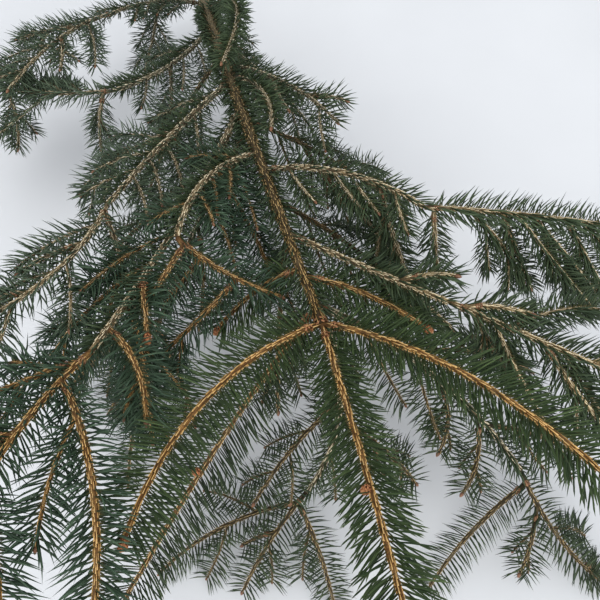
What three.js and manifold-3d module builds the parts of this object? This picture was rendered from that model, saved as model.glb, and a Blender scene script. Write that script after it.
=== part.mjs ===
// A cut bough of red spruce that lies on level ground, on its butt and its lowest twig tips.
// Millimetres, +Z up. The origin is the centre of the cut butt, whose face looks along +Y,
// and the bough grows towards -Y.
// A limb's course has an even turn and an even bow: its heading, measured from -Y towards +X,
// changes by turn degrees from root to tip, and its pitch above the level by bow degrees.

import * as THREE from "three";
import Module from "manifold-3d";

// Main stem: it arches up from the ground and runs level to the ring of shoots at its tip
const STEM = { heading: -8, turn: 10, pitch: 37, bow: -41, length: 440 };
const STEM_RADIUS = 6.4;
const STEM_TIP_RADIUS = 2.3;
const STEM_SIDES = 10;
const STEM_STEPS = 22;
const HUB_RADIUS = 3.3; // the bud scales swell the last stretch of the stem
const HUB_LENGTH = 7;
const FLOOR = -8; // the lower edge of the cut butt rests on the ground

// Bare boughs: [carrier, place along it, heading, turn, pitch, bow, length]
const BOUGHS = {
  left_back_bough: ["main_stem", 0.13, -74, 25, 31, -16, 96],
  left_rear_bough: ["main_stem", 0.35, -32, -42, 4, 4, 102],
  left_outer_bough: ["main_stem", 0.58, -42, 2, 16, -8, 130],
  left_front_bough: ["main_stem", 0.65, -30, -3, 7, 14, 188],
  left_bough: ["main_stem", 0.75, -65, 45, 31, -29, 85],
  right_rear_bough: ["main_stem", 0.78, 58, -18, 30, -40, 92],
  right_middle_bough: ["main_stem", 0.88, 35, 9, 15, -9, 89],
  low_right_bough: ["main_stem", 0.975, 60, -33, -24, -12, 150],
  low_middle_bough: ["main_stem", 0.95, 33, -95, -52, 16, 127],
  low_left_bough: ["main_stem", 0.7, -52, 10, -24, -10, 112],
};
const BOUGH_SIDES = 6;
const BOUGH_STEP = 12;
const BOUGH_RADIUS = 1.7;
const BOUGH_RADIUS_PER_LENGTH = 0.009;
const BOUGH_TIP_RADIUS = 1.9;

// Masses of needles. on: [carrier, place]. stem: [heading, turn, pitch, bow, length].
// twigs: [place along the stem, heading, turn, pitch, bow, length]. more: side twigs by the seeded rule.
const MASSES = {
  leader_shoot: { on: ["main_stem", 1], stem: [-5, -5, 19, 12, 153] },
  right_tip_shoot: { on: ["main_stem", 1], stem: [46, -27, 32, -35, 156] },
  left_tip_shoot: { on: ["main_stem", 1], stem: [-77, 52, 23, -5, 131] },
  left_under_shoot: { on: ["main_stem", 0.98], stem: [-55, 10, -13, 6, 150] },
  right_inner_shoot: { on: ["main_stem", 0.94], stem: [57, -24, 8, -8, 63] },
  left_inner_shoot: { on: ["main_stem", 0.93], stem: [-89, 36, -7, -5, 49] },
  upper_rear_shoot: { on: ["main_stem", 0.57], stem: [36, -56, 29, -25, 76] },
  right_short_shoot: { on: ["main_stem", 0.53], stem: [47, -32, 14, -12, 97], more: 2 },
  rear_rising_shoot: { on: ["main_stem", 0.26], stem: [26, -59, 49, -49, 160] },
  right_low_shoot: { on: ["main_stem", 0.44], stem: [54, -20, -22, -18, 88], more: 3 },
  right_back_shoot: { on: ["main_stem", 0.24], stem: [34, -20, -14, -20, 58] },
  rear_under_shoot: { on: ["main_stem", 0.6], stem: [10, -8, -44, 0, 84], more: 2 },
  right_rear_under_shoot: { on: ["main_stem", 0.68], stem: [66, -18, -20, -14, 116], more: 4 },
  left_low_shoot: { on: ["main_stem", 0.5], stem: [-62, 20, -24, -12, 104], more: 3 },
  left_back_spray: { on: ["left_back_bough", 1], stem: [-49, 12, 22, -26, 116], more: 4 },
  left_back_twig: { on: ["left_back_bough", 0.5], stem: [-16, -20, -8, -22, 62] },
  left_rear_spray: {
    on: ["left_rear_bough", 1],
    stem: [-105, -41, -5, -14, 123],
    twigs: [[0.05, -37, 19, -33, -30, 44], [0.7, 19, -49, -19, -21, 43]],
    more: 3,
  },
  left_rear_twig: { on: ["left_rear_bough", 0.55], stem: [-8, -30, -28, -12, 60] },
  left_front_spray: {
    on: ["left_front_bough", 1],
    stem: [-45, 23, 21, -18, 118],
    twigs: [[0.05, -87, 0, 2, -24, 46], [0.14, 20, -37, 16, -16, 93]],
    more: 2,
  },
  left_front_twig: { on: ["left_front_bough", 0.93], stem: [36, -50, 17, -34, 45] },
  left_front_shoot: { on: ["left_front_bough", 0.76], stem: [2, -10, 38, -45, 34] },
  left_front_side_twig: { on: ["left_front_bough", 0.7], stem: [-84, 26, -16, -14, 66], more: 2 },
  left_front_low_twig: { on: ["left_front_bough", 0.84], stem: [4, -24, -34, -8, 64] },
  left_outer_spray: {
    on: ["left_outer_bough", 1],
    stem: [-22, -56, 12, -16, 84],
    twigs: [[0.06, 8, -8, -6, -14, 54]],
    more: 3,
  },
  left_outer_twig: { on: ["left_outer_bough", 0.5], stem: [-92, 24, -8, -18, 64], more: 2 },
  left_spray: {
    on: ["left_bough", 1],
    stem: [35, 32, -19, -7, 56],
    twigs: [[0.08, -30, -15, 20, -24, 34], [0.24, -50, -16, -19, -15, 29], [0.6, -54, -15, -2, -18, 47]],
  },
  right_rear_spray: {
    on: ["right_rear_bough", 1],
    stem: [78, 0, -11, -12, 155],
    twigs: [
      [0.03, 0, 12, -64, 6, 44],
      [0.15, 53, -18, -35, -15, 56],
      [0.27, 34, -8, -52, 4, 50],
      [0.38, 46, -5, -35, -4, 60],
      [0.52, 40, -8, -46, 6, 54],
    ],
  },
  right_rear_twig: { on: ["right_rear_bough", 0.35], stem: [44, -14, -30, -14, 66], more: 2 },
  right_rear_low_twig: { on: ["right_rear_bough", 0.72], stem: [6, 10, -44, 6, 70] },
  right_middle_spray: {
    on: ["right_middle_bough", 1],
    stem: [45, 7, 2, -14, 118],
    twigs: [[0.04, 69, -14, 19, -23, 30], [0.1, 11, 7, -31, 11, 34]],
    more: 3,
  },
  right_middle_twig: { on: ["right_middle_bough", 0.72], stem: [79, -14, 31, -36, 26] },
  right_middle_low_twig: { on: ["right_middle_bough", 0.5], stem: [70, -24, -36, -4, 66], more: 2 },
  right_under_shoot: { on: ["main_stem", 0.83], stem: [62, -22, -30, -4, 112], more: 3 },
  front_under_shoot: { on: ["main_stem", 0.88], stem: [-26, 10, -42, 4, 96], more: 3 },
  left_under_twig: { on: ["left_bough", 0.4], stem: [26, -16, -36, -8, 62] },
  low_right_spray: {
    on: ["low_right_bough", 1],
    stem: [8, 48, -24, -22, 96],
    twigs: [[0.07, -74, 25, -27, -14, 84], [0.2, -16, -25, -37, 0, 42]],
    more: 2,
  },
  low_right_outer_twig: { on: ["low_right_bough", 0.36], stem: [94, -34, -22, -10, 88], more: 3 },
  low_right_side_twig: { on: ["low_right_bough", 0.76], stem: [74, -20, -20, -14, 68], more: 2 },
  low_right_twig: { on: ["low_right_bough", 0.7], stem: [8, -62, -37, -7, 48] },
  low_right_inner_twig: { on: ["low_right_bough", 0.5], stem: [30, -78, -41, -9, 47] },
  low_middle_spray: {
    on: ["low_middle_bough", 1],
    stem: [-60, 13, -18, -26, 70],
    twigs: [[0.1, -100, 32, -12, -22, 95], [0.1, 12, -14, -20, -34, 68]],
    more: 2,
  },
  low_middle_twig: { on: ["low_middle_bough", 0.55], stem: [-72, 20, -22, -14, 74], more: 2 },
  low_middle_inner_twig: { on: ["low_middle_bough", 0.62], stem: [52, -20, -30, -10, 64], more: 2 },
  low_left_spray: {
    on: ["low_left_bough", 1],
    stem: [-42, 16, -30, -14, 118],
    twigs: [[0.08, -92, 20, -22, -20, 84], [0.12, 14, -18, -30, -18, 66]],
    more: 3,
  },
  low_left_outer_twig: { on: ["low_left_bough", 0.3], stem: [-98, 22, -22, -12, 86], more: 3 },
  low_left_twig: { on: ["low_left_bough", 0.55], stem: [-4, -30, -34, -12, 62] },
};
const CORE_RADIUS = 1.7;
const CORE_TIP_RADIUS = 1.1;
const CORE_SIDES = 4;

// Side twigs of the seeded rule
const RULE_FIRST_PLACE = 0.22;
const RULE_LAST_PLACE = 0.86;
const RULE_ANGLE = 44;
const RULE_ANGLE_SPREAD = 12;
const RULE_STRAIGHTENING = 0.4; // the share of that angle that a side twig turns back by its tip
const RULE_PLACE_SPREAD = 0.4; // of the distance between two side twigs
const RULE_DROOP = 8;
const RULE_LENGTH_SHARE = 0.46;
const RULE_LENGTH_LOSS = 0.3;
const RULE_SHORTEST = 20;
const RULE_SPACE = 12; // a side twig that comes nearer than this to another limb is skipped
const RULE_OWN_ROOT = 24; // the stretch of a side twig that may lie near its own stem

// Needles, each tooth standing for the needles of a short stretch
const RING_STEP = 4.6;
const SIDE_NEEDLE = 13.5;
const UPPER_NEEDLE = 7.5;
const NEEDLE_LEAN = 7.5; // how far a needle's tip lies ahead of its root
const NEEDLE_SPREAD = 0.3; // a needle's length varies by this share
const NEEDLE_CLEARANCE = 1.6; // how much nearer a tip lies to its own twig than to any other limb
const SHORTER = [1, 0.7, 0.45]; // shares of its length that a crowded needle is tried at
const END_RINGS = 3; // the rings at either end of a twig over which needles grow to full length
const TWIG_SEED = 7919;
const NEEDLE_SEED = 104729;

const CLEARANCE = 0.3; // between a limb's root and what carries it
const COURSE_STEP = 2;
const UP = new THREE.Vector3(0, 0, 1);

const bark = new THREE.MeshStandardMaterial({ color: 0x8a6a4a, roughness: 0.9, metalness: 0 });
const needles = new THREE.MeshStandardMaterial({ color: 0x1f4a2c, roughness: 0.6, metalness: 0 });

const wasm = await Module();
wasm.setup();

// A portable seeded generator of numbers from 0 to 1
function seeded(seed) {
  let state = seed;
  return () => {
    state = (state * 16807) % 2147483647;
    return state / 2147483647;
  };
}

function direction(heading, pitch) {
  const h = THREE.MathUtils.degToRad(heading);
  const p = THREE.MathUtils.degToRad(pitch);
  return new THREE.Vector3(Math.sin(h) * Math.cos(p), -Math.cos(h) * Math.cos(p), Math.sin(p));
}

function headingAt(course, place) {
  return course.heading + course.turn * place;
}

function pitchAt(course, place) {
  return course.pitch + course.bow * place;
}

// A limb: its course, and points along its axis at even steps from the root
function grow(name, course, root, radius, tipRadius) {
  const steps = Math.max(3, Math.round(course.length / COURSE_STEP));
  const points = [root.clone()];
  for (let i = 0; i < steps; i++) {
    const place = (i + 0.5) / steps;
    const ahead = direction(headingAt(course, place), pitchAt(course, place));
    points.push(points[i].clone().addScaledVector(ahead, course.length / steps));
  }
  return { name, course, points, radius, tipRadius, from: 0 };
}

function pointAt(limb, place) {
  const steps = limb.points.length - 1;
  const i = Math.min(Math.floor(place * steps), steps - 1);
  return limb.points[i].clone().lerp(limb.points[i + 1], place * steps - i);
}

// A limb tapers evenly, and the main stem swells again at the hub
function radiusAt(limb, place) {
  const tapered = THREE.MathUtils.lerp(limb.radius, limb.tipRadius, place);
  if (limb.name !== "main_stem") return tapered;
  const swell = THREE.MathUtils.clamp((2 * ((place - 1) * STEM.length + HUB_LENGTH)) / HUB_LENGTH, 0, 1);
  return THREE.MathUtils.lerp(tapered, HUB_RADIUS, swell);
}

// A limb's own axes at a place: ahead, to its right and up
function axesAt(limb, place) {
  const ahead = direction(headingAt(limb.course, place), pitchAt(limb.course, place));
  const right = ahead.clone().cross(UP).normalize();
  return { ahead, right, up: right.clone().cross(ahead) };
}

// The distance from a point to a limb's surface, whose tip is a flat disc
function surfaceGap(point, limb) {
  const steps = limb.points.length - 1;
  let least = Infinity;
  for (let i = Math.floor(limb.from * steps); i < steps; i++) {
    const start = limb.points[i];
    const along = limb.points[i + 1].clone().sub(start);
    const offset = point.clone().sub(start);
    const share = offset.dot(along) / along.lengthSq();
    const held = THREE.MathUtils.clamp(share, 0, 1);
    const radius = radiusAt(limb, (i + held) / steps);
    const beyond = i === steps - 1 && share > 1 ? (share - 1) * along.length() : 0;
    const aside = offset.addScaledVector(along, beyond ? -share : -held).length() - radius;
    least = Math.min(least, beyond ? Math.hypot(Math.max(aside, 0), beyond) : aside);
  }
  return least;
}

// The distance from a point to a limb's axis
function axisDistance(point, limb) {
  let least = Infinity;
  for (const place of limb.points) least = Math.min(least, point.distanceToSquared(place));
  return Math.sqrt(least);
}

function ring(limb, place, sides) {
  const centre = pointAt(limb, place);
  const radius = radiusAt(limb, place);
  const { right, up } = axesAt(limb, place);
  return Array.from({ length: sides }, (_, j) => {
    const angle = (2 * Math.PI * j) / sides;
    return centre
      .clone()
      .addScaledVector(right, radius * Math.cos(angle))
      .addScaledVector(up, radius * Math.sin(angle));
  });
}

// Moves a limb's first ring out along its course until it is clear of the limbs placed before it
function clearRoot(limb, placed) {
  const near = placed.filter((other) => axisDistance(limb.points[0], other) < limb.course.length);
  const step = 0.1 / limb.course.length;
  const isClear = (place) =>
    ring(limb, place, 8).every((corner) => near.every((other) => surfaceGap(corner, other) >= CLEARANCE));
  while (!isClear(limb.from)) limb.from += step;
}

// Triangles of a tube of rings. Each diagonal joins two core corners, so that a corner pulled out
// of the tube, where ring and corner numbers add up to an even number, stands alone as a pyramid.
function tube(rings, tip) {
  const sides = rings[0].length;
  const points = rings.flat();
  const triangles = [];
  const at = (k, j) => k * sides + (j % sides);
  for (let j = 1; j < sides - 1; j++) triangles.push(at(0, 0), at(0, j), at(0, j + 1));
  for (let k = 0; k < rings.length - 1; k++) {
    for (let j = 0; j < sides; j++) {
      const [a, b, c, d] = [at(k, j), at(k + 1, j), at(k + 1, j + 1), at(k, j + 1)];
      if ((k + j) % 2) triangles.push(a, b, c, a, c, d);
      else triangles.push(a, b, d, b, c, d);
    }
  }
  const last = rings.length - 1;
  if (tip) {
    points.push(tip);
    for (let j = 0; j < sides; j++) triangles.push(at(last, j), points.length - 1, at(last, j + 1));
  } else {
    for (let j = 1; j < sides - 1; j++) triangles.push(at(last, 0), at(last, j + 1), at(last, j));
  }
  const vertProperties = new Float32Array(points.flatMap((p) => p.toArray()));
  return new wasm.Manifold(
    new wasm.Mesh({ numProp: 3, vertProperties, triVerts: new Uint32Array(triangles) }),
  );
}

function meshOf(name, solid, material) {
  const { vertProperties, triVerts } = solid.getMesh();
  const geometry = new THREE.BufferGeometry();
  geometry.setAttribute("position", new THREE.BufferAttribute(new Float32Array(vertProperties), 3));
  geometry.setIndex(new THREE.BufferAttribute(new Uint32Array(triVerts), 1));
  const mesh = new THREE.Mesh(geometry, material);
  mesh.name = name;
  return mesh;
}

// The main stem, cut upright at the butt and swollen at the hub
function stemSolid(limb) {
  const hub = 1 - HUB_LENGTH / STEM.length;
  const places = Array.from({ length: STEM_STEPS + 1 }, (_, k) => (hub * k) / STEM_STEPS);
  const rings = [...places, (1 + hub) / 2, 1].map((place) => ring(limb, place, STEM_SIDES));
  const { ahead } = axesAt(limb, 0);
  for (const corner of rings[0]) corner.addScaledVector(ahead, -corner.y / ahead.y);
  return tube(rings);
}

function boughSolid(limb) {
  const steps = Math.round(limb.course.length / BOUGH_STEP);
  const rings = [];
  for (let k = 0; k <= steps; k++) {
    rings.push(ring(limb, THREE.MathUtils.lerp(limb.from, 1, k / steps), BOUGH_SIDES));
  }
  return tube(rings);
}

// Whether a needle's tip keeps to its own twig's space and above the ground
function hasRoom(tip, twig, others, limbs) {
  const own = axisDistance(tip, twig);
  if (others.some((other) => axisDistance(tip, other) < own + NEEDLE_CLEARANCE)) return false;
  return limbs.every((limb) => surfaceGap(tip, limb) > NEEDLE_CLEARANCE);
}

// One twig: a slim core with needles standing out of it to the sides, and shorter ones above and below
function twigSolid(twig, others, limbs, random) {
  const first = twig.from;
  const steps = Math.max(2, Math.round(((1 - first) * twig.course.length) / RING_STEP));
  const rings = [];
  for (let k = 0; k < steps; k++) {
    const place = THREE.MathUtils.lerp(first, 1, k / steps);
    const { ahead } = axesAt(twig, place);
    const centre = pointAt(twig, place);
    const corners = ring(twig, place, CORE_SIDES);
    const taper = Math.min(1, 0.5 + Math.min(k, steps - k) / (2 * END_RINGS));
    for (let j = k % 2; k > 0 && j < CORE_SIDES; j += 2) {
      const size = (j % 2 ? UPPER_NEEDLE : SIDE_NEEDLE) * taper * (1 - NEEDLE_SPREAD * random());
      const outward = corners[j].clone().sub(centre).normalize();
      const tip = SHORTER.map((share) => {
        const point = centre.clone().addScaledVector(outward, size * share);
        point.addScaledVector(ahead, NEEDLE_LEAN * taper * share);
        point.z = Math.max(point.z, FLOOR);
        return point;
      }).find((point) => hasRoom(point, twig, others, limbs));
      if (tip) corners[j] = tip;
    }
    rings.push(corners);
  }
  return tube(rings, pointAt(twig, 1));
}

// Places the side twigs of the seeded rule along a mass's stem
function sideTwigs(stem, count, placed, random) {
  const grown = [];
  for (let k = 0; k < count; k++) {
    const share = (k + 0.5 + RULE_PLACE_SPREAD * (random() - 0.5)) / count;
    const place = THREE.MathUtils.lerp(RULE_FIRST_PLACE, RULE_LAST_PLACE, share);
    const side = k % 2 ? 1 : -1;
    const angle = RULE_ANGLE + RULE_ANGLE_SPREAD * (random() - 0.5);
    const course = {
      heading: headingAt(stem.course, place) + side * angle,
      turn: -side * angle * RULE_STRAIGHTENING,
      pitch: pitchAt(stem.course, place) - RULE_DROOP * random(),
      bow: -RULE_DROOP,
      length: stem.course.length * (RULE_LENGTH_SHARE - RULE_LENGTH_LOSS * place),
    };
    if (course.length < RULE_SHORTEST) continue;
    const twig = grow(stem.name, course, pointAt(stem, place), CORE_RADIUS, CORE_TIP_RADIUS);
    const outer = twig.points.slice(Math.ceil(RULE_OWN_ROOT / COURSE_STEP));
    const crowded =
      outer.some((point) => axisDistance(point, stem) < RULE_SPACE) ||
      twig.points.some((point) =>
        [...placed, ...grown].some((limb) => axisDistance(point, limb) < RULE_SPACE),
      );
    const sunk = outer.some((point) => point.z < FLOOR + CORE_RADIUS * 2);
    if (!crowded && !sunk) grown.push(twig);
  }
  return grown;
}

const stem = grow("main_stem", STEM, new THREE.Vector3(), STEM_RADIUS, STEM_TIP_RADIUS);
const carriers = { main_stem: stem };
const wood = [stem];
for (const [name, [carrier, at, heading, turn, pitch, bow, length]] of Object.entries(BOUGHS)) {
  const radius = BOUGH_RADIUS + BOUGH_RADIUS_PER_LENGTH * length;
  const root = pointAt(carriers[carrier], at);
  const course = { heading, turn, pitch, bow, length };
  carriers[name] = grow(name, course, root, radius, BOUGH_TIP_RADIUS);
  wood.push(carriers[name]);
}

// Every mass's own stem and named twigs are laid out first, so that the seeded ones can avoid them
const masses = Object.entries(MASSES).map(([name, { on, stem: own, twigs = [], more = 0 }]) => {
  const [heading, turn, pitch, bow, length] = own;
  const root = pointAt(carriers[on[0]], on[1]);
  const axis = grow(name, { heading, turn, pitch, bow, length }, root, CORE_RADIUS, CORE_TIP_RADIUS);
  const branches = twigs.map(([place, ...shape]) => {
    const course = { heading: shape[0], turn: shape[1], pitch: shape[2], bow: shape[3], length: shape[4] };
    return grow(name, course, pointAt(axis, place), CORE_RADIUS, CORE_TIP_RADIUS);
  });
  return { name, more, twigs: [axis, ...branches] };
});

const rooted = [stem];
for (const limb of wood.slice(1)) {
  clearRoot(limb, rooted);
  rooted.push(limb);
}
for (const mass of masses) {
  clearRoot(mass.twigs[0], rooted);
  rooted.push(mass.twigs[0]);
}
masses.forEach((mass, index) => {
  const random = seeded(TWIG_SEED * (index + 1));
  const placed = [...wood, ...masses.flatMap((other) => other.twigs)];
  const elsewhere = placed.filter((limb) => limb !== mass.twigs[0]);
  mass.twigs.push(...sideTwigs(mass.twigs[0], mass.more, elsewhere, random));
});

const bough = new THREE.Group();
bough.add(meshOf("main_stem", stemSolid(stem), bark));
for (const limb of wood.slice(1)) bough.add(meshOf(limb.name, boughSolid(limb), bark));
const everyTwig = masses.flatMap((mass) => mass.twigs);
masses.forEach((mass, index) => {
  const random = seeded(NEEDLE_SEED * (index + 1));
  const solids = mass.twigs.map((twig) => {
    const others = everyTwig.filter((other) => other !== twig);
    return twigSolid(twig, others, wood, random);
  });
  const joined = solids.slice(1).reduce((whole, part) => whole.add(part), solids[0]);
  bough.add(meshOf(mass.name, joined, needles));
});

export default bough;
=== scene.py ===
"""The looks of a cut bough of red spruce that lies on level ground.

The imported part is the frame: its limbs are grown here again by the part's own rule, from the same
named sizes, then carried on to finer twigs and dressed with bark, leaf pegs, needles and buds.
Lengths are millimetres and angles are degrees until a mesh is written, where MM gives metres.
The origin is the centre of the cut butt, the bough grows towards -Y and the ground lies at FLOOR.
"""

from __future__ import annotations

import logging
import math
from dataclasses import dataclass
from dataclasses import field
from dataclasses import replace
from enum import Enum
from typing import Callable
from typing import Mapping
from typing import Sequence

import bpy
import numpy as np
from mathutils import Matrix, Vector


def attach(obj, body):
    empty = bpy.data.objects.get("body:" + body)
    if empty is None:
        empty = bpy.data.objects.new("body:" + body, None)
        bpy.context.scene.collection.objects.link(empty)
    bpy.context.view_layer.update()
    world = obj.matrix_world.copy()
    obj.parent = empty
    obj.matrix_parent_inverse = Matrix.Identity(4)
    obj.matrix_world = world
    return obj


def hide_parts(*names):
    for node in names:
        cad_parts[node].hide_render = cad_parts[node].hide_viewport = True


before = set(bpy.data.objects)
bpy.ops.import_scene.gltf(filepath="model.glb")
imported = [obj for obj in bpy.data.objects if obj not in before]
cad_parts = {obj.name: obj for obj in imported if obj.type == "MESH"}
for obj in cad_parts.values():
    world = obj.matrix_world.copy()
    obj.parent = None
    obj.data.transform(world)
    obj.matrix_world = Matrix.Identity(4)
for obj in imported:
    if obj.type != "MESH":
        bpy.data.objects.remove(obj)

Array = np.ndarray
Colour = tuple[float, float, float]
Point = tuple[float, float, float]
Pair = tuple[float, float]
# A bark's colours in its gaps, on its flanks and on its peg tops: the dark gap colour is painted shade,
# and the pale top colour is partly the pegs' own paler colour and partly painted highlight.
Colours = tuple[Colour, Colour, Colour]
Draw = Callable[[], float]

MM = 0.001
UP = np.array([0.0, 0.0, 1.0])
FLOOR = -8.0
FLOOR_SKIN = 0.15
FULL_TURN = 2 * math.pi
GOLDEN_ANGLE = math.radians(137.508)
STRAIGHT_TURN = 1e-4
DRAW_FACTOR = 16807
DRAW_MODULUS = 2147483647
BODY = "root"
log = logging.getLogger("cut_spruce_bough")


class Slot(Enum):
    """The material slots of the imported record."""

    STEM_BARK = "stem_bark"
    TWIG_BARK = "twig_bark"
    NEEDLES = "needles"


# The rule of growth


@dataclass(frozen=True)
class Course:
    """A limb's course: heading, measured from -Y towards +X, and pitch above the level change evenly."""

    heading: float
    turn: float
    pitch: float
    bow: float
    length: float

    def heading_at(self, place: Array | float) -> Array | float:
        """Heading at a share of the length: the first heading plus that share of the turn."""
        return self.heading + self.turn * place

    def pitch_at(self, place: Array | float) -> Array | float:
        """Pitch at a share of the length: the first pitch plus that share of the bow."""
        return self.pitch + self.bow * place


def bearing(heading: Array | float, pitch: Array | float) -> Array:
    """Unit vectors of headings and pitches.

    Formula: (sin h cos p, -cos h cos p, sin p).

    Args:
        heading: degrees from -Y towards +X.
        pitch: degrees above the level.

    Returns:
        One vector for each pair of angles.
    """
    h = np.radians(heading)
    p = np.radians(pitch)
    return np.stack([np.sin(h) * np.cos(p), -np.cos(h) * np.cos(p), np.sin(p)], axis=-1)


def unit(vectors: Array) -> Array:
    """Vectors divided by their own lengths."""
    return vectors / np.linalg.norm(vectors, axis=-1, keepdims=True)


def level_axes(ahead: Array) -> tuple[Array, Array]:
    """The axis to the right of each direction on the level, and the one up square to both."""
    right = unit(np.cross(ahead, UP))
    return right, np.cross(right, ahead)


def square_to(along: Array, vectors: Array) -> Array:
    """Unit vectors of what is left of some vectors without their share along others."""
    return unit(vectors - (vectors * along).sum(axis=1, keepdims=True) * along)


def corner_angles(sides: int) -> Array:
    """Even angles round a circle."""
    return np.arange(sides) * FULL_TURN / sides


def circles(right: Array, up: Array, theta: Array) -> Array:
    """Unit circles across an axis.

    Formula: cos(theta) of the way to the right and sin(theta) of the way up.

    Args:
        right: one vector for each place on the axis.
        up: one vector for each place on the axis.
        theta: the angles.

    Returns:
        Directions as (place, angle, axis).
    """
    level = np.cos(theta)[None, :, None] * right[:, None, :]
    return level + np.sin(theta)[None, :, None] * up[:, None, :]


def rested(points: Array) -> Array:
    """Points with those that would sink into the ground lifted to just above it."""
    level = np.maximum(points[..., 2], FLOOR + FLOOR_SKIN)
    return np.concatenate([points[..., :2], level[..., None]], axis=-1)


class Limb:
    """A tapering limb grown along its course by even steps."""

    COURSE_STEP = 2.0
    LEAST_STEPS = 3
    ROOT_MARGIN = 0.8
    AGE_LOSS = 0.0025

    def __init__(
        self,
        name: str,
        course: Course,
        radius: float,
        tip_radius: float,
        carrier: Limb | None = None,
        carried_at: float = 0.0,
    ) -> None:
        """Grows the axis: each step goes ahead by the bearing at its middle.

        Args:
            name: the node that the limb belongs to.
            course: headings, pitches and length.
            radius: at the root.
            tip_radius: at the tip.
            carrier: the limb that carries it, or none for the main stem, which starts at the origin.
            carried_at: the share of the carrier's length at which it starts.
        """
        self.name = name
        self.course = course
        self.radius = radius
        self.tip_radius = tip_radius
        self.carrier = carrier
        self.carried_at = carried_at
        self.old_root = float(carrier.age_at(carried_at)) if carrier else 1.0
        self.old_tip = max(0.0, self.old_root - self.AGE_LOSS * course.length)
        root = carrier.at(carried_at) if carrier else np.zeros(3)
        steps = max(self.LEAST_STEPS, math.floor(course.length / self.COURSE_STEP + 0.5))
        middle = (np.arange(steps) + 0.5) / steps
        ahead = bearing(course.heading_at(middle), course.pitch_at(middle)) * course.length / steps
        self.points = root + np.vstack([np.zeros(3), np.cumsum(ahead, axis=0)])

    def at(self, place: Array | float) -> Array:
        """Points of the axis at shares of its length, between its even steps.

        Args:
            place: the shares.

        Returns:
            A point for each.
        """
        steps = len(self.points) - 1
        along = np.asarray(place, float) * steps
        index = np.clip(along.astype(int), 0, steps - 1)
        share = (along - index)[..., None]
        return self.points[index] * (1 - share) + self.points[index + 1] * share

    def axes(self, place: Array | float) -> tuple[Array, Array, Array]:
        """The limb's own axes: ahead, to the right of it on the level, and up square to both.

        Args:
            place: shares of the length.

        Returns:
            Three vectors for each share.
        """
        place = np.asarray(place, float)
        ahead = bearing(self.course.heading_at(place), self.course.pitch_at(place))
        return ahead, *level_axes(ahead)

    def radius_at(self, place: Array | float) -> Array | float:
        """Radius at a share of the length, tapering evenly."""
        return self.radius + (self.tip_radius - self.radius) * np.asarray(place, float)

    def age_at(self, place: Array | float) -> Array | float:
        """How old the bark is at a share of the length: 1 is old, 0 is of this year."""
        return self.old_root + (self.old_tip - self.old_root) * np.asarray(place, float)

    def nearest(self, points: Array) -> Array:
        """The distance from each of some points to the axis, by its even steps."""
        gaps = points[:, None, :] - self.points[None, :, :]
        return np.sqrt((gaps**2).sum(axis=2).min(axis=1))

    def bare_root(self) -> float:
        """The length over which the limb is still within its carrier's bark.

        Returns:
            The length in millimetres, or 0 for the stem.
        """
        if self.carrier is None:
            return 0.0
        bark = float(self.carrier.radius_at(self.carried_at)) + self.ROOT_MARGIN
        outside = self.carrier.nearest(self.points) > bark
        steps = int(np.argmax(outside)) if outside.any() else len(self.points) - 1
        return self.course.length * steps / (len(self.points) - 1)


class StemLimb(Limb):
    """The main stem, which swells again at the ring of shoots."""

    HUB_RADIUS = 3.3
    HUB_LENGTH = 7.0
    BUTT_AGE = 1.12
    AGE_FALL = 1.02

    def radius_at(self, place: Array | float) -> Array | float:
        """Radius that tapers evenly and swells over the first half of the last HUB_LENGTH.

        Args:
            place: shares of the length.

        Returns:
            A radius for each.
        """
        place = np.asarray(place, float)
        beyond = 2 * ((place - 1) * self.course.length + self.HUB_LENGTH) / self.HUB_LENGTH
        tapered = super().radius_at(place)
        return tapered + (self.HUB_RADIUS - tapered) * np.clip(beyond, 0, 1)

    def age_at(self, place: Array | float) -> Array | float:
        """Age of the bark, which stays at 1 near the butt and falls ever faster to near 0 at the tip."""
        return np.clip(self.BUTT_AGE - self.AGE_FALL * np.asarray(place, float) ** 2, 0, 1)


def seeded(seed: int) -> Draw:
    """A portable generator of numbers from 0 to 1, the same as the part's source has.

    Args:
        seed: any whole number above 0.

    Returns:
        A function that gives the next number: the state times the factor, modulo the modulus, over it.
    """
    state = seed

    def draw() -> float:
        """The next number from 0 to 1."""
        nonlocal state
        state = state * DRAW_FACTOR % DRAW_MODULUS
        return state / DRAW_MODULUS

    return draw


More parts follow.
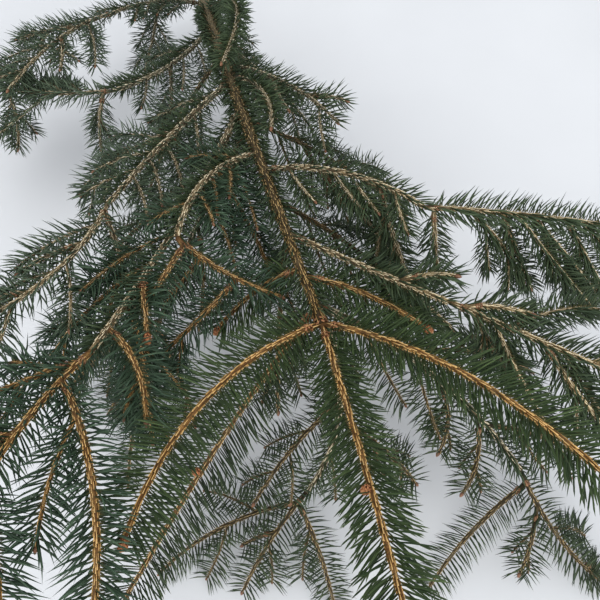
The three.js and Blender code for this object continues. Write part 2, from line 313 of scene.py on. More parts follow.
@dataclass(frozen=True)
class TwigRule:
    """The seeded rule by which side twigs leave a stem, to its two sides in turn."""

    first_place: float = 0.22
    last_place: float = 0.86
    angle: float = 44.0
    angle_spread: float = 12.0
    straightening: float = 0.4
    place_spread: float = 0.4
    droop: float = 8.0
    length_share: float = 0.46
    length_loss: float = 0.3
    shortest: float = 20.0
    space: float = 12.0
    own_root: float = 24.0
    radius: float = 1.7
    tip_radius: float = 1.1
    sides: tuple[int, ...] = (-1, 1)
    reach: tuple[Point, Point] | None = None
    open_width: float = 0.0

    def grow(
        self, stem: Limb, count: int, others: Sequence[Limb], draw: Draw, open_limbs: Sequence[Limb] = ()
    ) -> list[Limb]:
        """Grows the side twigs of one stem, skipping those that come too near a limb or the ground.

        Args:
            stem: the limb that carries them.
            count: how many are tried.
            others: the limbs that they keep away from.
            draw: the seeded generator.
            open_limbs: limbs that they don't pass over either.

        Returns:
            The twigs that have room.
        """
        grown: list[Limb] = []
        for k in range(count):
            share = (k + 0.5 + self.place_spread * (draw() - 0.5)) / count
            place = self.first_place + (self.last_place - self.first_place) * share
            side = self.sides[k % len(self.sides)]
            angle = self.angle + self.angle_spread * (draw() - 0.5)
            course = Course(
                stem.course.heading_at(place) + side * angle,
                -side * angle * self.straightening,
                stem.course.pitch_at(place) - self.droop * draw(),
                -self.droop,
                stem.course.length * (self.length_share - self.length_loss * place),
            )
            if course.length < self.shortest:
                continue
            twig = Limb(stem.name, course, self.radius, self.tip_radius, stem, place)
            if self.has_room(twig, stem, [*others, *grown]) and self.leaves_open(twig, open_limbs):
                grown.append(twig)
        return grown

    def has_room(self, twig: Limb, stem: Limb, others: Sequence[Limb]) -> bool:
        """Whether a twig keeps its distance from its own stem, from other limbs and from the ground.

        Args:
            twig: the twig that is tried.
            stem: what carries it.
            others: the limbs that it keeps away from.

        Returns:
            True where it also stays within the reach, if there is one.
        """
        if self.reach and ((twig.points < self.reach[0]) | (twig.points > self.reach[1])).any():
            return False
        outer = twig.points[math.ceil(self.own_root / Limb.COURSE_STEP) :]
        lowest = FLOOR + 2 * self.radius
        if len(outer) and (stem.nearest(outer).min() < self.space or outer[:, 2].min() < lowest):
            return False
        cloud = np.concatenate([other.points for other in others])
        near = np.abs(cloud - twig.points.mean(axis=0)).max(axis=1) < twig.course.length + self.space
        gaps = twig.points[:, None, :] - cloud[near][None, :, :]
        return not gaps.size or (gaps**2).sum(axis=2).min() >= self.space**2

    def leaves_open(self, twig: Limb, limbs: Sequence[Limb]) -> bool:
        """Whether a twig is nowhere above some limbs, by their distances in plan.

        Args:
            twig: the twig that is tried.
            limbs: the limbs that stay open from above.

        Returns:
            True where it is clear of them by the open width.
        """
        if not limbs:
            return True
        gaps = twig.points[:, None, :] - np.concatenate([limb.points for limb in limbs])[None, :, :]
        close = (gaps[..., :2] ** 2).sum(axis=2) < self.open_width**2
        return not (close & (gaps[..., 2] > 0)).any()


# The named sizes of the source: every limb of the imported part


@dataclass(frozen=True)
class BoughSize:
    """A bare bough: what carries it, where along it, and its course."""

    carrier: str
    at: float
    course: Course


@dataclass(frozen=True)
class MassSize:
    """A mass of needles: its carrier, its stem, its named twigs, and how many seeded ones it tries."""

    carrier: str
    at: float
    stem: Course
    twigs: tuple[tuple[float, Course], ...] = ()
    more: int = 0


def bough_size(carrier: str, at: float, *course: float) -> BoughSize:
    """A bough from the numbers of its course."""
    return BoughSize(carrier, at, Course(*course))


def mass_size(
    carrier: str,
    at: float,
    stem: Sequence[float],
    twigs: Sequence[Sequence[float]] = (),
    more: int = 0,
) -> MassSize:
    """A mass from the numbers of its courses; each twig's numbers start with its place on the stem."""
    return MassSize(carrier, at, Course(*stem), tuple((t[0], Course(*t[1:])) for t in twigs), more)


STEM = "main_stem"
STEM_COURSE = Course(-8, 10, 37, -41, 440)
STEM_RADIUS = 6.4
STEM_TIP_RADIUS = 2.3
BOUGH_RADIUS = 1.7
BOUGH_RADIUS_PER_LENGTH = 0.009
BOUGH_TIP_RADIUS = 1.9
TWIG_SEED = 7919

BOUGHS: dict[str, BoughSize] = {
    "left_back_bough": bough_size(STEM, 0.13, -74, 25, 31, -16, 96),
    "left_rear_bough": bough_size(STEM, 0.35, -32, -42, 4, 4, 102),
    "left_outer_bough": bough_size(STEM, 0.58, -42, 2, 16, -8, 130),
    "left_front_bough": bough_size(STEM, 0.65, -30, -3, 7, 14, 188),
    "left_bough": bough_size(STEM, 0.75, -65, 45, 31, -29, 85),
    "right_rear_bough": bough_size(STEM, 0.78, 58, -18, 30, -40, 92),
    "right_middle_bough": bough_size(STEM, 0.88, 35, 9, 15, -9, 89),
    "low_right_bough": bough_size(STEM, 0.975, 60, -33, -24, -12, 150),
    "low_middle_bough": bough_size(STEM, 0.95, 33, -95, -52, 16, 127),
    "low_left_bough": bough_size(STEM, 0.7, -52, 10, -24, -10, 112),
}

MASSES: dict[str, MassSize] = {
    "leader_shoot": mass_size(STEM, 1, [-5, -5, 19, 12, 153]),
    "right_tip_shoot": mass_size(STEM, 1, [46, -27, 32, -35, 156]),
    "left_tip_shoot": mass_size(STEM, 1, [-77, 52, 23, -5, 131]),
    "left_under_shoot": mass_size(STEM, 0.98, [-55, 10, -13, 6, 150]),
    "right_inner_shoot": mass_size(STEM, 0.94, [57, -24, 8, -8, 63]),
    "left_inner_shoot": mass_size(STEM, 0.93, [-89, 36, -7, -5, 49]),
    "upper_rear_shoot": mass_size(STEM, 0.57, [36, -56, 29, -25, 76]),
    "right_short_shoot": mass_size(STEM, 0.53, [47, -32, 14, -12, 97], more=2),
    "rear_rising_shoot": mass_size(STEM, 0.26, [26, -59, 49, -49, 160]),
    "right_low_shoot": mass_size(STEM, 0.44, [54, -20, -22, -18, 88], more=3),
    "right_back_shoot": mass_size(STEM, 0.24, [34, -20, -14, -20, 58]),
    "rear_under_shoot": mass_size(STEM, 0.6, [10, -8, -44, 0, 84], more=2),
    "right_rear_under_shoot": mass_size(STEM, 0.68, [66, -18, -20, -14, 116], more=4),
    "left_low_shoot": mass_size(STEM, 0.5, [-62, 20, -24, -12, 104], more=3),
    "left_back_spray": mass_size("left_back_bough", 1, [-49, 12, 22, -26, 116], more=4),
    "left_back_twig": mass_size("left_back_bough", 0.5, [-16, -20, -8, -22, 62]),
    "left_rear_spray": mass_size(
        "left_rear_bough", 1, [-105, -41, -5, -14, 123],
        [[0.05, -37, 19, -33, -30, 44], [0.7, 19, -49, -19, -21, 43]], 3,
    ),
    "left_rear_twig": mass_size("left_rear_bough", 0.55, [-8, -30, -28, -12, 60]),
    "left_front_spray": mass_size(
        "left_front_bough", 1, [-45, 23, 21, -18, 118],
        [[0.05, -87, 0, 2, -24, 46], [0.14, 20, -37, 16, -16, 93]], 2,
    ),
    "left_front_twig": mass_size("left_front_bough", 0.93, [36, -50, 17, -34, 45]),
    "left_front_shoot": mass_size("left_front_bough", 0.76, [2, -10, 38, -45, 34]),
    "left_front_side_twig": mass_size("left_front_bough", 0.7, [-84, 26, -16, -14, 66], more=2),
    "left_front_low_twig": mass_size("left_front_bough", 0.84, [4, -24, -34, -8, 64]),
    "left_outer_spray": mass_size(
        "left_outer_bough", 1, [-22, -56, 12, -16, 84], [[0.06, 8, -8, -6, -14, 54]], 3,
    ),
    "left_outer_twig": mass_size("left_outer_bough", 0.5, [-92, 24, -8, -18, 64], more=2),
    "left_spray": mass_size(
        "left_bough", 1, [35, 32, -19, -7, 56],
        [[0.08, -30, -15, 20, -24, 34], [0.24, -50, -16, -19, -15, 29], [0.6, -54, -15, -2, -18, 47]],
    ),
    "right_rear_spray": mass_size(
        "right_rear_bough", 1, [78, 0, -11, -12, 155],
        [
            [0.03, 0, 12, -64, 6, 44],
            [0.15, 53, -18, -35, -15, 56],
            [0.27, 34, -8, -52, 4, 50],
            [0.38, 46, -5, -35, -4, 60],
            [0.52, 40, -8, -46, 6, 54],
        ],
    ),
    "right_rear_twig": mass_size("right_rear_bough", 0.35, [44, -14, -30, -14, 66], more=2),
    "right_rear_low_twig": mass_size("right_rear_bough", 0.72, [6, 10, -44, 6, 70]),
    "right_middle_spray": mass_size(
        "right_middle_bough", 1, [45, 7, 2, -14, 118],
        [[0.04, 69, -14, 19, -23, 30], [0.1, 11, 7, -31, 11, 34]], 3,
    ),
    "right_middle_twig": mass_size("right_middle_bough", 0.72, [79, -14, 31, -36, 26]),
    "right_middle_low_twig": mass_size("right_middle_bough", 0.5, [70, -24, -36, -4, 66], more=2),
    "right_under_shoot": mass_size(STEM, 0.83, [62, -22, -30, -4, 112], more=3),
    "front_under_shoot": mass_size(STEM, 0.88, [-26, 10, -42, 4, 96], more=3),
    "left_under_twig": mass_size("left_bough", 0.4, [26, -16, -36, -8, 62]),
    "low_right_spray": mass_size(
        "low_right_bough", 1, [8, 48, -24, -22, 96],
        [[0.07, -74, 25, -27, -14, 84], [0.2, -16, -25, -37, 0, 42]], 2,
    ),
    "low_right_outer_twig": mass_size("low_right_bough", 0.36, [94, -34, -22, -10, 88], more=3),
    "low_right_side_twig": mass_size("low_right_bough", 0.76, [74, -20, -20, -14, 68], more=2),
    "low_right_twig": mass_size("low_right_bough", 0.7, [8, -62, -37, -7, 48]),
    "low_right_inner_twig": mass_size("low_right_bough", 0.5, [30, -78, -41, -9, 47]),
    "low_middle_spray": mass_size(
        "low_middle_bough", 1, [-60, 13, -18, -26, 70],
        [[0.1, -100, 32, -12, -22, 95], [0.1, 12, -14, -20, -34, 68]], 2,
    ),
    "low_middle_twig": mass_size("low_middle_bough", 0.55, [-72, 20, -22, -14, 74], more=2),
    "low_middle_inner_twig": mass_size("low_middle_bough", 0.62, [52, -20, -30, -10, 64], more=2),
    "low_left_spray": mass_size(
        "low_left_bough", 1, [-42, 16, -30, -14, 118],
        [[0.08, -92, 20, -22, -20, 84], [0.12, 14, -18, -30, -18, 66]], 3,
    ),
    "low_left_outer_twig": mass_size("low_left_bough", 0.3, [-98, 22, -22, -12, 86], more=3),
    "low_left_twig": mass_size("low_left_bough", 0.55, [-4, -30, -34, -12, 62]),
}


@dataclass
class Skeleton:
    """Every limb of the bough: the stem, the boughs, the source's twigs and the finer ones."""

    rule: TwigRule = TwigRule()
    finer_rule: TwigRule = TwigRule(
        first_place=0.14,
        angle=48,
        angle_spread=20,
        droop=14,
        length_share=0.52,
        length_loss=0.24,
        shortest=14,
        space=4.6,
        own_root=9,
        radius=1.0,
        tip_radius=0.7,
        reach=((-186, -552, -5), (182, -10, 178)),
        open_width=14,
    )
    finer_spacing: float = 11.0
    low_spacing: float = 22.0
    bough_length_share: float = 0.34
    bough_length_loss: float = 0.12
    finer_seed: int = 6007
    hanging: tuple[str, ...] = ("right_rear_spray", "right_rear_bough", "right_short_shoot")
    plain: tuple[tuple[str, int], ...] = (
        ("low_right_spray", 1),
        ("rear_rising_shoot", 0),
        ("upper_rear_shoot", 0),
    )
    young: tuple[str, ...] = (
        "leader_shoot",
        "right_tip_shoot",
        "left_tip_shoot",
        "left_under_shoot",
        "right_inner_shoot",
        "left_inner_shoot",
        "left_front_shoot",
    )

    def __post_init__(self) -> None:
        """Grows the limbs in the source's order, on which the seeded ones depend."""
        self.finer: dict[str, list[Limb]] = {}
        self.stem = StemLimb(STEM, STEM_COURSE, STEM_RADIUS, STEM_TIP_RADIUS)
        self.wood: dict[str, Limb] = {STEM: self.stem}
        for name, size in BOUGHS.items():
            radius = BOUGH_RADIUS + BOUGH_RADIUS_PER_LENGTH * size.course.length
            carrier = self.wood[size.carrier]
            self.wood[name] = Limb(name, size.course, radius, BOUGH_TIP_RADIUS, carrier, size.at)
        self.twigs: dict[str, list[Limb]] = {}
        for name, mass in MASSES.items():
            radii = (self.rule.radius, self.rule.tip_radius)
            axis = Limb(name, mass.stem, *radii, self.wood[mass.carrier], mass.at)
            named = [Limb(name, course, *radii, axis, place) for place, course in mass.twigs]
            self.twigs[name] = [axis, *named]
        for index, (name, mass) in enumerate(MASSES.items()):
            axis = self.twigs[name][0]
            others = [limb for limb in self.every() if limb is not axis]
            self.twigs[name] += self.rule.grow(axis, mass.more, others, seeded(TWIG_SEED * (index + 1)))
        self.finer = {name: [] for name in (*MASSES, *BOUGHS)}
        for index, name in enumerate(MASSES):
            if name not in self.young:
                draw = seeded(self.finer_seed * (index + 1))
                self.carry_on(name, self.twigs[name], self.finer_rule, draw)
        bough_rule = replace(
            self.finer_rule, length_share=self.bough_length_share, length_loss=self.bough_length_loss
        )
        for index, name in enumerate(BOUGHS):
            self.carry_on(name, [self.wood[name]], bough_rule, seeded(self.finer_seed * (index + 1)))

    def every(self) -> list[Limb]:
        """All limbs grown so far."""
        grown = [*self.twigs.values(), *self.finer.values()]
        return [*self.wood.values(), *(limb for limbs in grown for limb in limbs)]

    def carry_on(self, name: str, limbs: Sequence[Limb], rule: TwigRule, draw: Draw) -> None:
        """Grows the finer twigs of one mass or bough along each of its limbs, by the same rule.

        Those of the hanging ones leave to their lower side only, and the plain ones bear none.

        Args:
            name: the mass or bough.
            limbs: its limbs.
            rule: the rule of growth.
            draw: the seeded generator.
        """
        if name in self.hanging:
            rule = replace(rule, sides=(-1,))
        open_limbs = [self.twigs[shoot][0] for shoot in self.young]
        for index, limb in enumerate(limbs):
            if (name, index) in self.plain:
                continue
            others = [other for other in self.every() if other is not limb]
            spacing = self.low_spacing if name.startswith("low") else self.finer_spacing
            count = round(limb.course.length / spacing)
            self.finer[name] += rule.grow(limb, count, others, draw, open_limbs)


# Meshes as whole arrays


@dataclass
class Patch:
    """Part of a mesh: points, faces of four and of three corners, and a value per point for each mark."""

    points: Array
    quads: Array
    triangles: Array
    marks: dict[str, Array] = field(default_factory=dict)

    @staticmethod
    def joined(patches: Sequence[Patch]) -> Patch:
        """One patch of several, whose corner numbers go up by the points before them.

        Args:
            patches: the patches, all with the same marks.

        Returns:
            The one patch.
        """
        offsets = np.cumsum([0, *(len(patch.points) for patch in patches[:-1])])
        names = patches[0].marks
        return Patch(
            np.concatenate([patch.points for patch in patches]),
            np.concatenate([patch.quads + offset for patch, offset in zip(patches, offsets)]),
            np.concatenate([patch.triangles + offset for patch, offset in zip(patches, offsets)]),
            {name: np.concatenate([patch.marks[name] for patch in patches]) for name in names},
        )

    @staticmethod
    def repeated(points: Array, quads: Array, triangles: Array, marks: dict[str, Array]) -> Patch:
        """One patch of many small shapes that have the same faces, none of them below the ground.

        Args:
            points: corners as (shape, corner, axis).
            quads: one shape's faces of four corners.
            triangles: one shape's faces of three corners.
            marks: a value for each corner of all the shapes.

        Returns:
            The shapes as one patch.
        """
        offsets = (np.arange(len(points)) * points.shape[1])[:, None, None]
        return Patch(
            rested(points.reshape(-1, 3)),
            (quads + offsets).reshape(-1, 4),
            (triangles + offsets).reshape(-1, 3),
            marks,
        )

    def worn(self, least: float) -> Patch:
        """The same patch with its age raised to at least some value, which greys bark as old and on the
        low sprays also darkens it as painted shade.
        """
        return replace(self, marks={**self.marks, "age": np.maximum(self.marks["age"], least)})


NO_QUADS = np.zeros((0, 4), int)
NO_TRIANGLES = np.zeros((0, 3), int)


def grid_faces(rows: int, columns: int) -> Array:
    """Faces of a closed tube of rings, whose corner (k, j) is number k * columns + j.

    Args:
        rows: how many rings.
        columns: how many corners each has, in order from right to up.

    Returns:
        The four corners of each face, seen from outside.
    """
    k, j = np.meshgrid(np.arange(rows - 1), np.arange(columns), indexing="ij")
    after = (j + 1) % columns
    faces = [k * columns + j, (k + 1) * columns + j, (k + 1) * columns + after, k * columns + after]
    return np.stack(faces, axis=-1).reshape(-1, 4)


def tube(rings: Array, root: Array, tip: Array, marks: Mapping[str, Array] | None = None) -> Patch:
    """A closed tube: rings of corners with a fan to a point at each end.

    Args:
        rings: corners as (ring, corner, axis), in order from right to up.
        root: the point that closes the first ring.
        tip: the point that closes the last ring.
        marks: values for each corner as (ring, corner); the end points take their rings' mean.

    Returns:
        The tube as a patch.
    """
    rows, columns = rings.shape[:2]
    points = np.vstack([rings.reshape(-1, 3), root, tip])
    j = np.arange(columns)
    after = (j + 1) % columns
    first = np.full(columns, rows * columns)
    last = (rows - 1) * columns
    fans = [np.stack([first, j, after], axis=1), np.stack([first + 1, last + after, last + j], axis=1)]
    values = {
        name: np.concatenate([value.ravel(), [value[0].mean(), value[-1].mean()]])
        for name, value in (marks or {}).items()
    }
    return Patch(points, grid_faces(rows, columns), np.concatenate(fans), values)


def raise_piece(
    name: str, patch: Patch, material: bpy.types.Material, smooth: bool = True
) -> bpy.types.Object:
    """Writes a patch into a mesh object at the origin.

    Args:
        name: the piece's name.
        patch: its points in millimetres, faces and marks.
        material: its finish.
        smooth: whether its shading runs smoothly over the edges.

    Returns:
        The object, linked to the scene.
    """
    mesh = bpy.data.meshes.new(name)
    mesh.vertices.add(len(patch.points))
    mesh.vertices.foreach_set("co", (patch.points * MM).ravel())
    corners = np.concatenate([patch.quads.ravel(), patch.triangles.ravel()])
    sizes = np.concatenate([np.full(len(patch.quads), 4), np.full(len(patch.triangles), 3)])
    mesh.loops.add(len(corners))
    mesh.loops.foreach_set("vertex_index", corners)
    mesh.polygons.add(len(sizes))
    mesh.polygons.foreach_set("loop_start", np.cumsum(sizes) - sizes)
    mesh.polygons.foreach_set("use_smooth", np.full(len(sizes), smooth))
    for mark, values in patch.marks.items():
        mesh.attributes.new(mark, "FLOAT", "POINT").data.foreach_set("value", values)
    mesh.materials.append(material)
    mesh.update(calc_edges=True)
    mesh.validate()
    piece = bpy.data.objects.new(name, mesh)
    bpy.context.scene.collection.objects.link(piece)
    log.info("%s: %d triangles", name, 2 * len(patch.quads) + len(patch.triangles))
    return piece


def fit(piece: bpy.types.Object, slot: Slot, nodes: Sequence[str]) -> None:
    """Lets a piece ride on the bough's body and hides the nodes that it stands for.

    Args:
        piece: the piece.
        slot: the slot of its finish; not used.
        nodes: the nodes that it stands for, if any.
    """
    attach(piece, BODY)
    if nodes:
        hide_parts(*nodes)


def dealt(rng: np.random.Generator, limits: Pair, count: int) -> Array:
    """Random values dealt out evenly between two limits."""
    least, most = limits
    return least + (most - least) * rng.random(count)


def round_noise(rng: np.random.Generator, shape: tuple[int, int], cells: tuple[int, int]) -> Array:
    """Smooth noise from 0 to 1 on a tube's grid, which closes round the tube.

    Formula: random values on a coarse lattice, blended between its corners by 3t^2 - 2t^3.

    Args:
        rng: the generator of the random values.
        shape: rings and corners of the grid.
        cells: lattice cells along and round the tube.

    Returns:
        A value for each corner of the grid.
    """
    lattice = rng.random((cells[0] + 2, cells[1]))
    row = np.linspace(0, cells[0], shape[0])[:, None]
    column = np.arange(shape[1])[None, :] * cells[1] / shape[1]
    i = row.astype(int)
    j = column.astype(int)
    s = (row - i) ** 2 * (3 - 2 * (row - i))
    t = (column - j) ** 2 * (3 - 2 * (column - j))
    after = (j + 1) % cells[1]
    near = lattice[i, j] * (1 - t) + lattice[i, after] * t
    far = lattice[i + 1, j] * (1 - t) + lattice[i + 1, after] * t
    return near * (1 - s) + far * s


def flakes(
    rng: np.random.Generator, shape: tuple[int, int], cells: tuple[int, int], crack: float = 0.28
) -> Array:
    """Plates of scaly bark on a tube's grid: 0 in the cracks between them, 1 on the plates.

    Formula: one random seed point in each lattice cell; the second least distance to a seed less the
    least one is small midway between two seeds, and is scaled and clipped to 0 to 1.

    Args:
        rng: the generator of the seed points.
        shape: rings and corners of the grid.
        cells: lattice cells along and round the tube.
        crack: how wide the cracks are, in cells.

    Returns:
        A value for each corner of the grid.
    """
    seeds = rng.random((cells[0] + 2, cells[1], 2))
    row = np.linspace(0, cells[0], shape[0], endpoint=False)[:, None]
    column = np.arange(shape[1])[None, :] * cells[1] / shape[1]
    i = row.astype(int)
    j = column.astype(int)
    least = np.full(shape, np.inf)
    second = np.full(shape, np.inf)
    for di in (-1, 0, 1):
        for dj in (-1, 0, 1):
            cell = seeds[np.clip(i + di, 0, cells[0]), (j + dj) % cells[1]]
            gap = np.hypot(i + di + cell[..., 0] - row, j + dj + cell[..., 1] - column)
            second = np.minimum(second, np.maximum(least, gap))
            least = np.minimum(least, gap)
    return np.clip((second - least) / crack, 0, 1)


# Needles and their pegs


@dataclass
class Seats:
    """Where needles sit: one row for each, in whole arrays."""

    axis: Array
    ahead: Array
    right: Array
    up: Array
    azimuth: Array
    radius: Array
    fullness: Array
    forward: Array
    age: Array

    @staticmethod
    def joined(seats: Sequence[Seats]) -> Seats:
        """The seats of several limbs in one."""
        names = Seats.__dataclass_fields__
        return Seats(*(np.concatenate([getattr(seat, name) for seat in seats]) for name in names))

    def thinned(self, step: int) -> Seats:
        """One seat of each so many in a row, as the step says."""
        return Seats(*(getattr(self, name)[::step] for name in Seats.__dataclass_fields__))

    def radial(self, azimuth: Array) -> Array:
        """Unit vectors square to the limb, at angles from up towards the right."""
        return np.cos(azimuth)[:, None] * self.up + np.sin(azimuth)[:, None] * self.right


@dataclass(frozen=True)
class PegForm:
    """The woody pegs that run down the twig from each needle's foot: long when young, short when old."""

    height: float = 0.45
    length: float = 2.8
    young_length: float = 4.8
    width: float = 0.8
    wear: float = 0.3
    azimuth_spread: float = 0.3
    least_height_share: float = 0.5
    full_radius: float = 1.1
    widest_half: float = 0.5
    height_range: Pair = (0.6, 1.4)
    length_range: Pair = (0.7, 1.3)
    back_depth: float = 0.9
    side_depth: float = 0.93
    lead: float = 0.35
    back_lift: float = 0.2

    def height_on(self, radius: Array) -> Array:
        """How far the pegs stand out of a twig's bark: less on the thinnest twigs."""
        return self.height * np.clip(radius / self.full_radius, self.least_height_share, 1)

    def build(self, seats: Seats, rng: np.random.Generator, size: float = 1.0) -> Patch:
        """Builds a peg for each seat.

        Formula: a wedge of four corners, one behind on the bark, two beside the needle's foot and one
        under it, raised by the height.

        Args:
            seats: where the needles sit.
            rng: the generator of their small irregularities.
            size: their length, width and height, as a share of the usual ones.

        Returns:
            The pegs as one patch, marked with lift: low behind and on their sides for painted shade, and
                1 on their tops for a pale colour that is partly painted highlight.
        """
        count = len(seats.azimuth)
        radius = seats.radius[:, None]
        wide = 0.5 * size * self.width * (1 - self.wear * seats.age)
        half = np.minimum(wide / seats.radius, self.widest_half)
        tall = (size * self.height_on(seats.radius) * dealt(rng, self.height_range, count))[:, None]
        longest = self.young_length + (self.length - self.young_length) * seats.age
        behind = (size * longest * dealt(rng, self.length_range, count))[:, None]
        azimuth = seats.azimuth + self.azimuth_spread * rng.standard_normal(count)
        back = seats.axis - behind * seats.ahead + self.back_depth * radius * seats.radial(azimuth)
        left = seats.axis + self.side_depth * radius * seats.radial(azimuth - half)
        right = seats.axis + self.side_depth * radius * seats.radial(azimuth + half)
        top = seats.axis + self.lead * seats.ahead + (radius + tall) * seats.radial(azimuth)
        points = np.stack([back, left, right, top], axis=1)
        faces = np.array([[1, 2, 0], [3, 1, 0], [3, 2, 1], [3, 0, 2]])
        # Lift: 0.2 behind and 0 on the sides for painted shade, 1 on the top for a pale colour that is
        # partly painted highlight.
        marks = {
            "lift": np.tile([self.back_lift, 0.0, 0.0, 1.0], count),
            "age": np.repeat(seats.age, points.shape[1]),
        }
        return Patch.repeated(points, NO_QUADS, faces, marks)


PEGS = PegForm()


@dataclass(frozen=True)
class NeedleForm:
    """A needle's sizes and how it stands on its twig."""

    length: float = 15.0
    width: float = 0.95
    depth: float = 0.72
    spacing: float = 0.55
    root_angle: float = 64.0
    tip_angle: float = 40.0
    parting: Pair = (50.0, 114.0)
    sides: int = 4
    rings: tuple[float, ...] = (0.0, 0.45, 0.86)
    widths: tuple[float, ...] = (0.6, 1.0, 0.82)
    length_spread: float = 0.2
    angle_spread: float = 9.0
    bend: float = 0.07
    rise: float = 0.05
    short_at_root: float = 0.6
    short_at_tip: float = 0.78
    root_stretch: float = 12.0
    tip_stretch: float = 10.0
    tip_lean: float = 26.0
    top_lean: float = 30.0
    top_reach: float = 70.0
    root_limits: Pair = (12.0, 95.0)
    tip_limits: Pair = (6.0, 80.0)
    place_spread: float = 0.5
    latest_first: float = 0.8
    least_count: int = 4
    tip_flank: float = 0.5

    def seats(self, limb: Limb, rng: np.random.Generator, clear: float, last: float = 1.0) -> Seats:
        """Deals seats out along a limb in a spiral of golden angles.

        Args:
            limb: the limb that bears the needles.
            rng: the generator of the small irregularities.
            clear: the bare length at the root.
            last: the share of the length at which the needles end.

        Returns:
            The seats.
        """
        length = limb.course.length
        first = min(clear / length, self.latest_first)
        count = max(self.least_count, int((last - first) * length / self.spacing))
        steps = (np.arange(count) + 0.5 + self.place_spread * (rng.random(count) - 0.5)) / count
        place = first + (last - first) * steps
        ahead, right, up = limb.axes(place)
        raw = GOLDEN_ANGLE * np.arange(count) + FULL_TURN * rng.random()
        raw = (raw + math.pi) % FULL_TURN - math.pi
        from_root = (place - first) * length / self.root_stretch
        from_tip = (1 - place) * length / self.tip_stretch
        at_root = self.short_at_root + (1 - self.short_at_root) * np.clip(from_root, 0, 1)
        at_tip = self.short_at_tip + (1 - self.short_at_tip) * np.clip(from_tip, 0, 1)
        forward = self.tip_lean * np.clip(1 - from_tip, 0, 1)
        radius = limb.radius_at(place)
        age = limb.age_at(place)
        return Seats(limb.at(place), ahead, right, up, raw, radius, at_root * at_tip, forward, age)

    def combed(self, seats: Seats, rng: np.random.Generator) -> Array:
        """Turns needles of the spiral aside, so that they part over the twig and comb to both sides.

        Formula: the side of the raw angle, times an angle that goes from the near parting to the far one
        as the raw angle goes from over the twig to under it.

        Args:
            seats: where the needles sit.
            rng: the generator of their small irregularities.

        Returns:
            The angle of each needle from up towards the right.
        """
        near, far = self.parting
        share = np.abs(seats.azimuth) / math.pi
        jitter = self.angle_spread * rng.standard_normal(len(share))
        return np.sign(seats.azimuth) * np.radians(near + (far - near) * share + jitter)

    def needles(self, seats: Seats, rng: np.random.Generator) -> Patch:
        """Builds all the needles of some seats as pointed, forward-curving spikes of three or four sides.

        Formula: the angle to the twig goes evenly from the root angle to the tip angle, so the centre
        line is that turn's arc in the plane of the twig and the needle's own side, plus a sideways
        bend and a rise by the square of the way along. Corners stand out by half the width and depth.

        Args:
            seats: where they sit.
            rng: the generator of their small irregularities.

        Returns:
            The needles as one patch, with a tone for each and the way along it.
        """
        count = len(seats.azimuth)
        aside = self.combed(seats, rng)
        out = seats.radial(aside)
        across = np.cross(seats.ahead, out)
        lean = seats.forward + self.angle_spread * rng.standard_normal(count)
        lean = lean + self.top_lean * np.clip(1 - np.abs(aside) / math.radians(self.top_reach), 0, 1)
        root_angle = np.radians(np.clip(self.root_angle - lean, *self.root_limits))[:, None]
        tip_angle = np.radians(np.clip(self.tip_angle - lean, *self.tip_limits))[:, None]
        turn = tip_angle - root_angle - STRAIGHT_TURN
        length = (self.length * seats.fullness * (1 - self.length_spread * rng.random(count)))[:, None]
        bend = self.bend * rng.standard_normal(count)[:, None]
        stand = seats.radius + PEGS.height_on(seats.radius)
        foot = seats.axis + stand[:, None] * seats.radial(0.5 * (aside + seats.azimuth))
        theta = corner_angles(self.sides)
        rings = []
        for place, share in zip((*self.rings, 1.0), (*self.widths, 0.0)):
            angle = root_angle + turn * place
            ahead = (np.sin(angle) - np.sin(root_angle)) / turn
            outward = (np.cos(root_angle) - np.cos(angle)) / turn
            centre = foot + length * (ahead * seats.ahead + outward * out)
            centre = centre + length * place**2 * (bend * across + self.rise * seats.up)
            normal = -np.sin(angle) * seats.ahead + np.cos(angle) * out
            if share == 0.0:
                rings.append(centre[:, None, :])
                continue
            wide = 0.5 * self.width * share * across[:, None, :] * np.sin(theta)[None, :, None]
            deep = 0.5 * self.depth * share * normal[:, None, :] * np.cos(theta)[None, :, None]
            rings.append(centre[:, None, :] + wide + deep)
        points = np.concatenate(rings, axis=1)
        rows = len(self.rings)
        j = np.arange(self.sides)
        last = self.sides * (rows - 1)
        end = np.full(self.sides, self.sides * rows)
        point = np.stack([last + j, last + (j + 1) % self.sides, end], axis=1)
        base = np.array([[0, k + 1, k] for k in range(1, self.sides - 1)])
        triangles = np.concatenate([base, point])
        quads = grid_faces(rows, self.sides)[:, ::-1]
        reach = np.concatenate([np.repeat(self.rings, self.sides), [1.0]])
        flank = np.concatenate([np.tile(np.abs(np.sin(theta)), rows), [self.tip_flank]])
        marks = {
            "tone": np.repeat(rng.random(count), points.shape[1]),
            "reach": np.tile(reach, count),
            "flank": np.tile(flank, count),
        }
        return Patch.repeated(points, quads, triangles, marks)


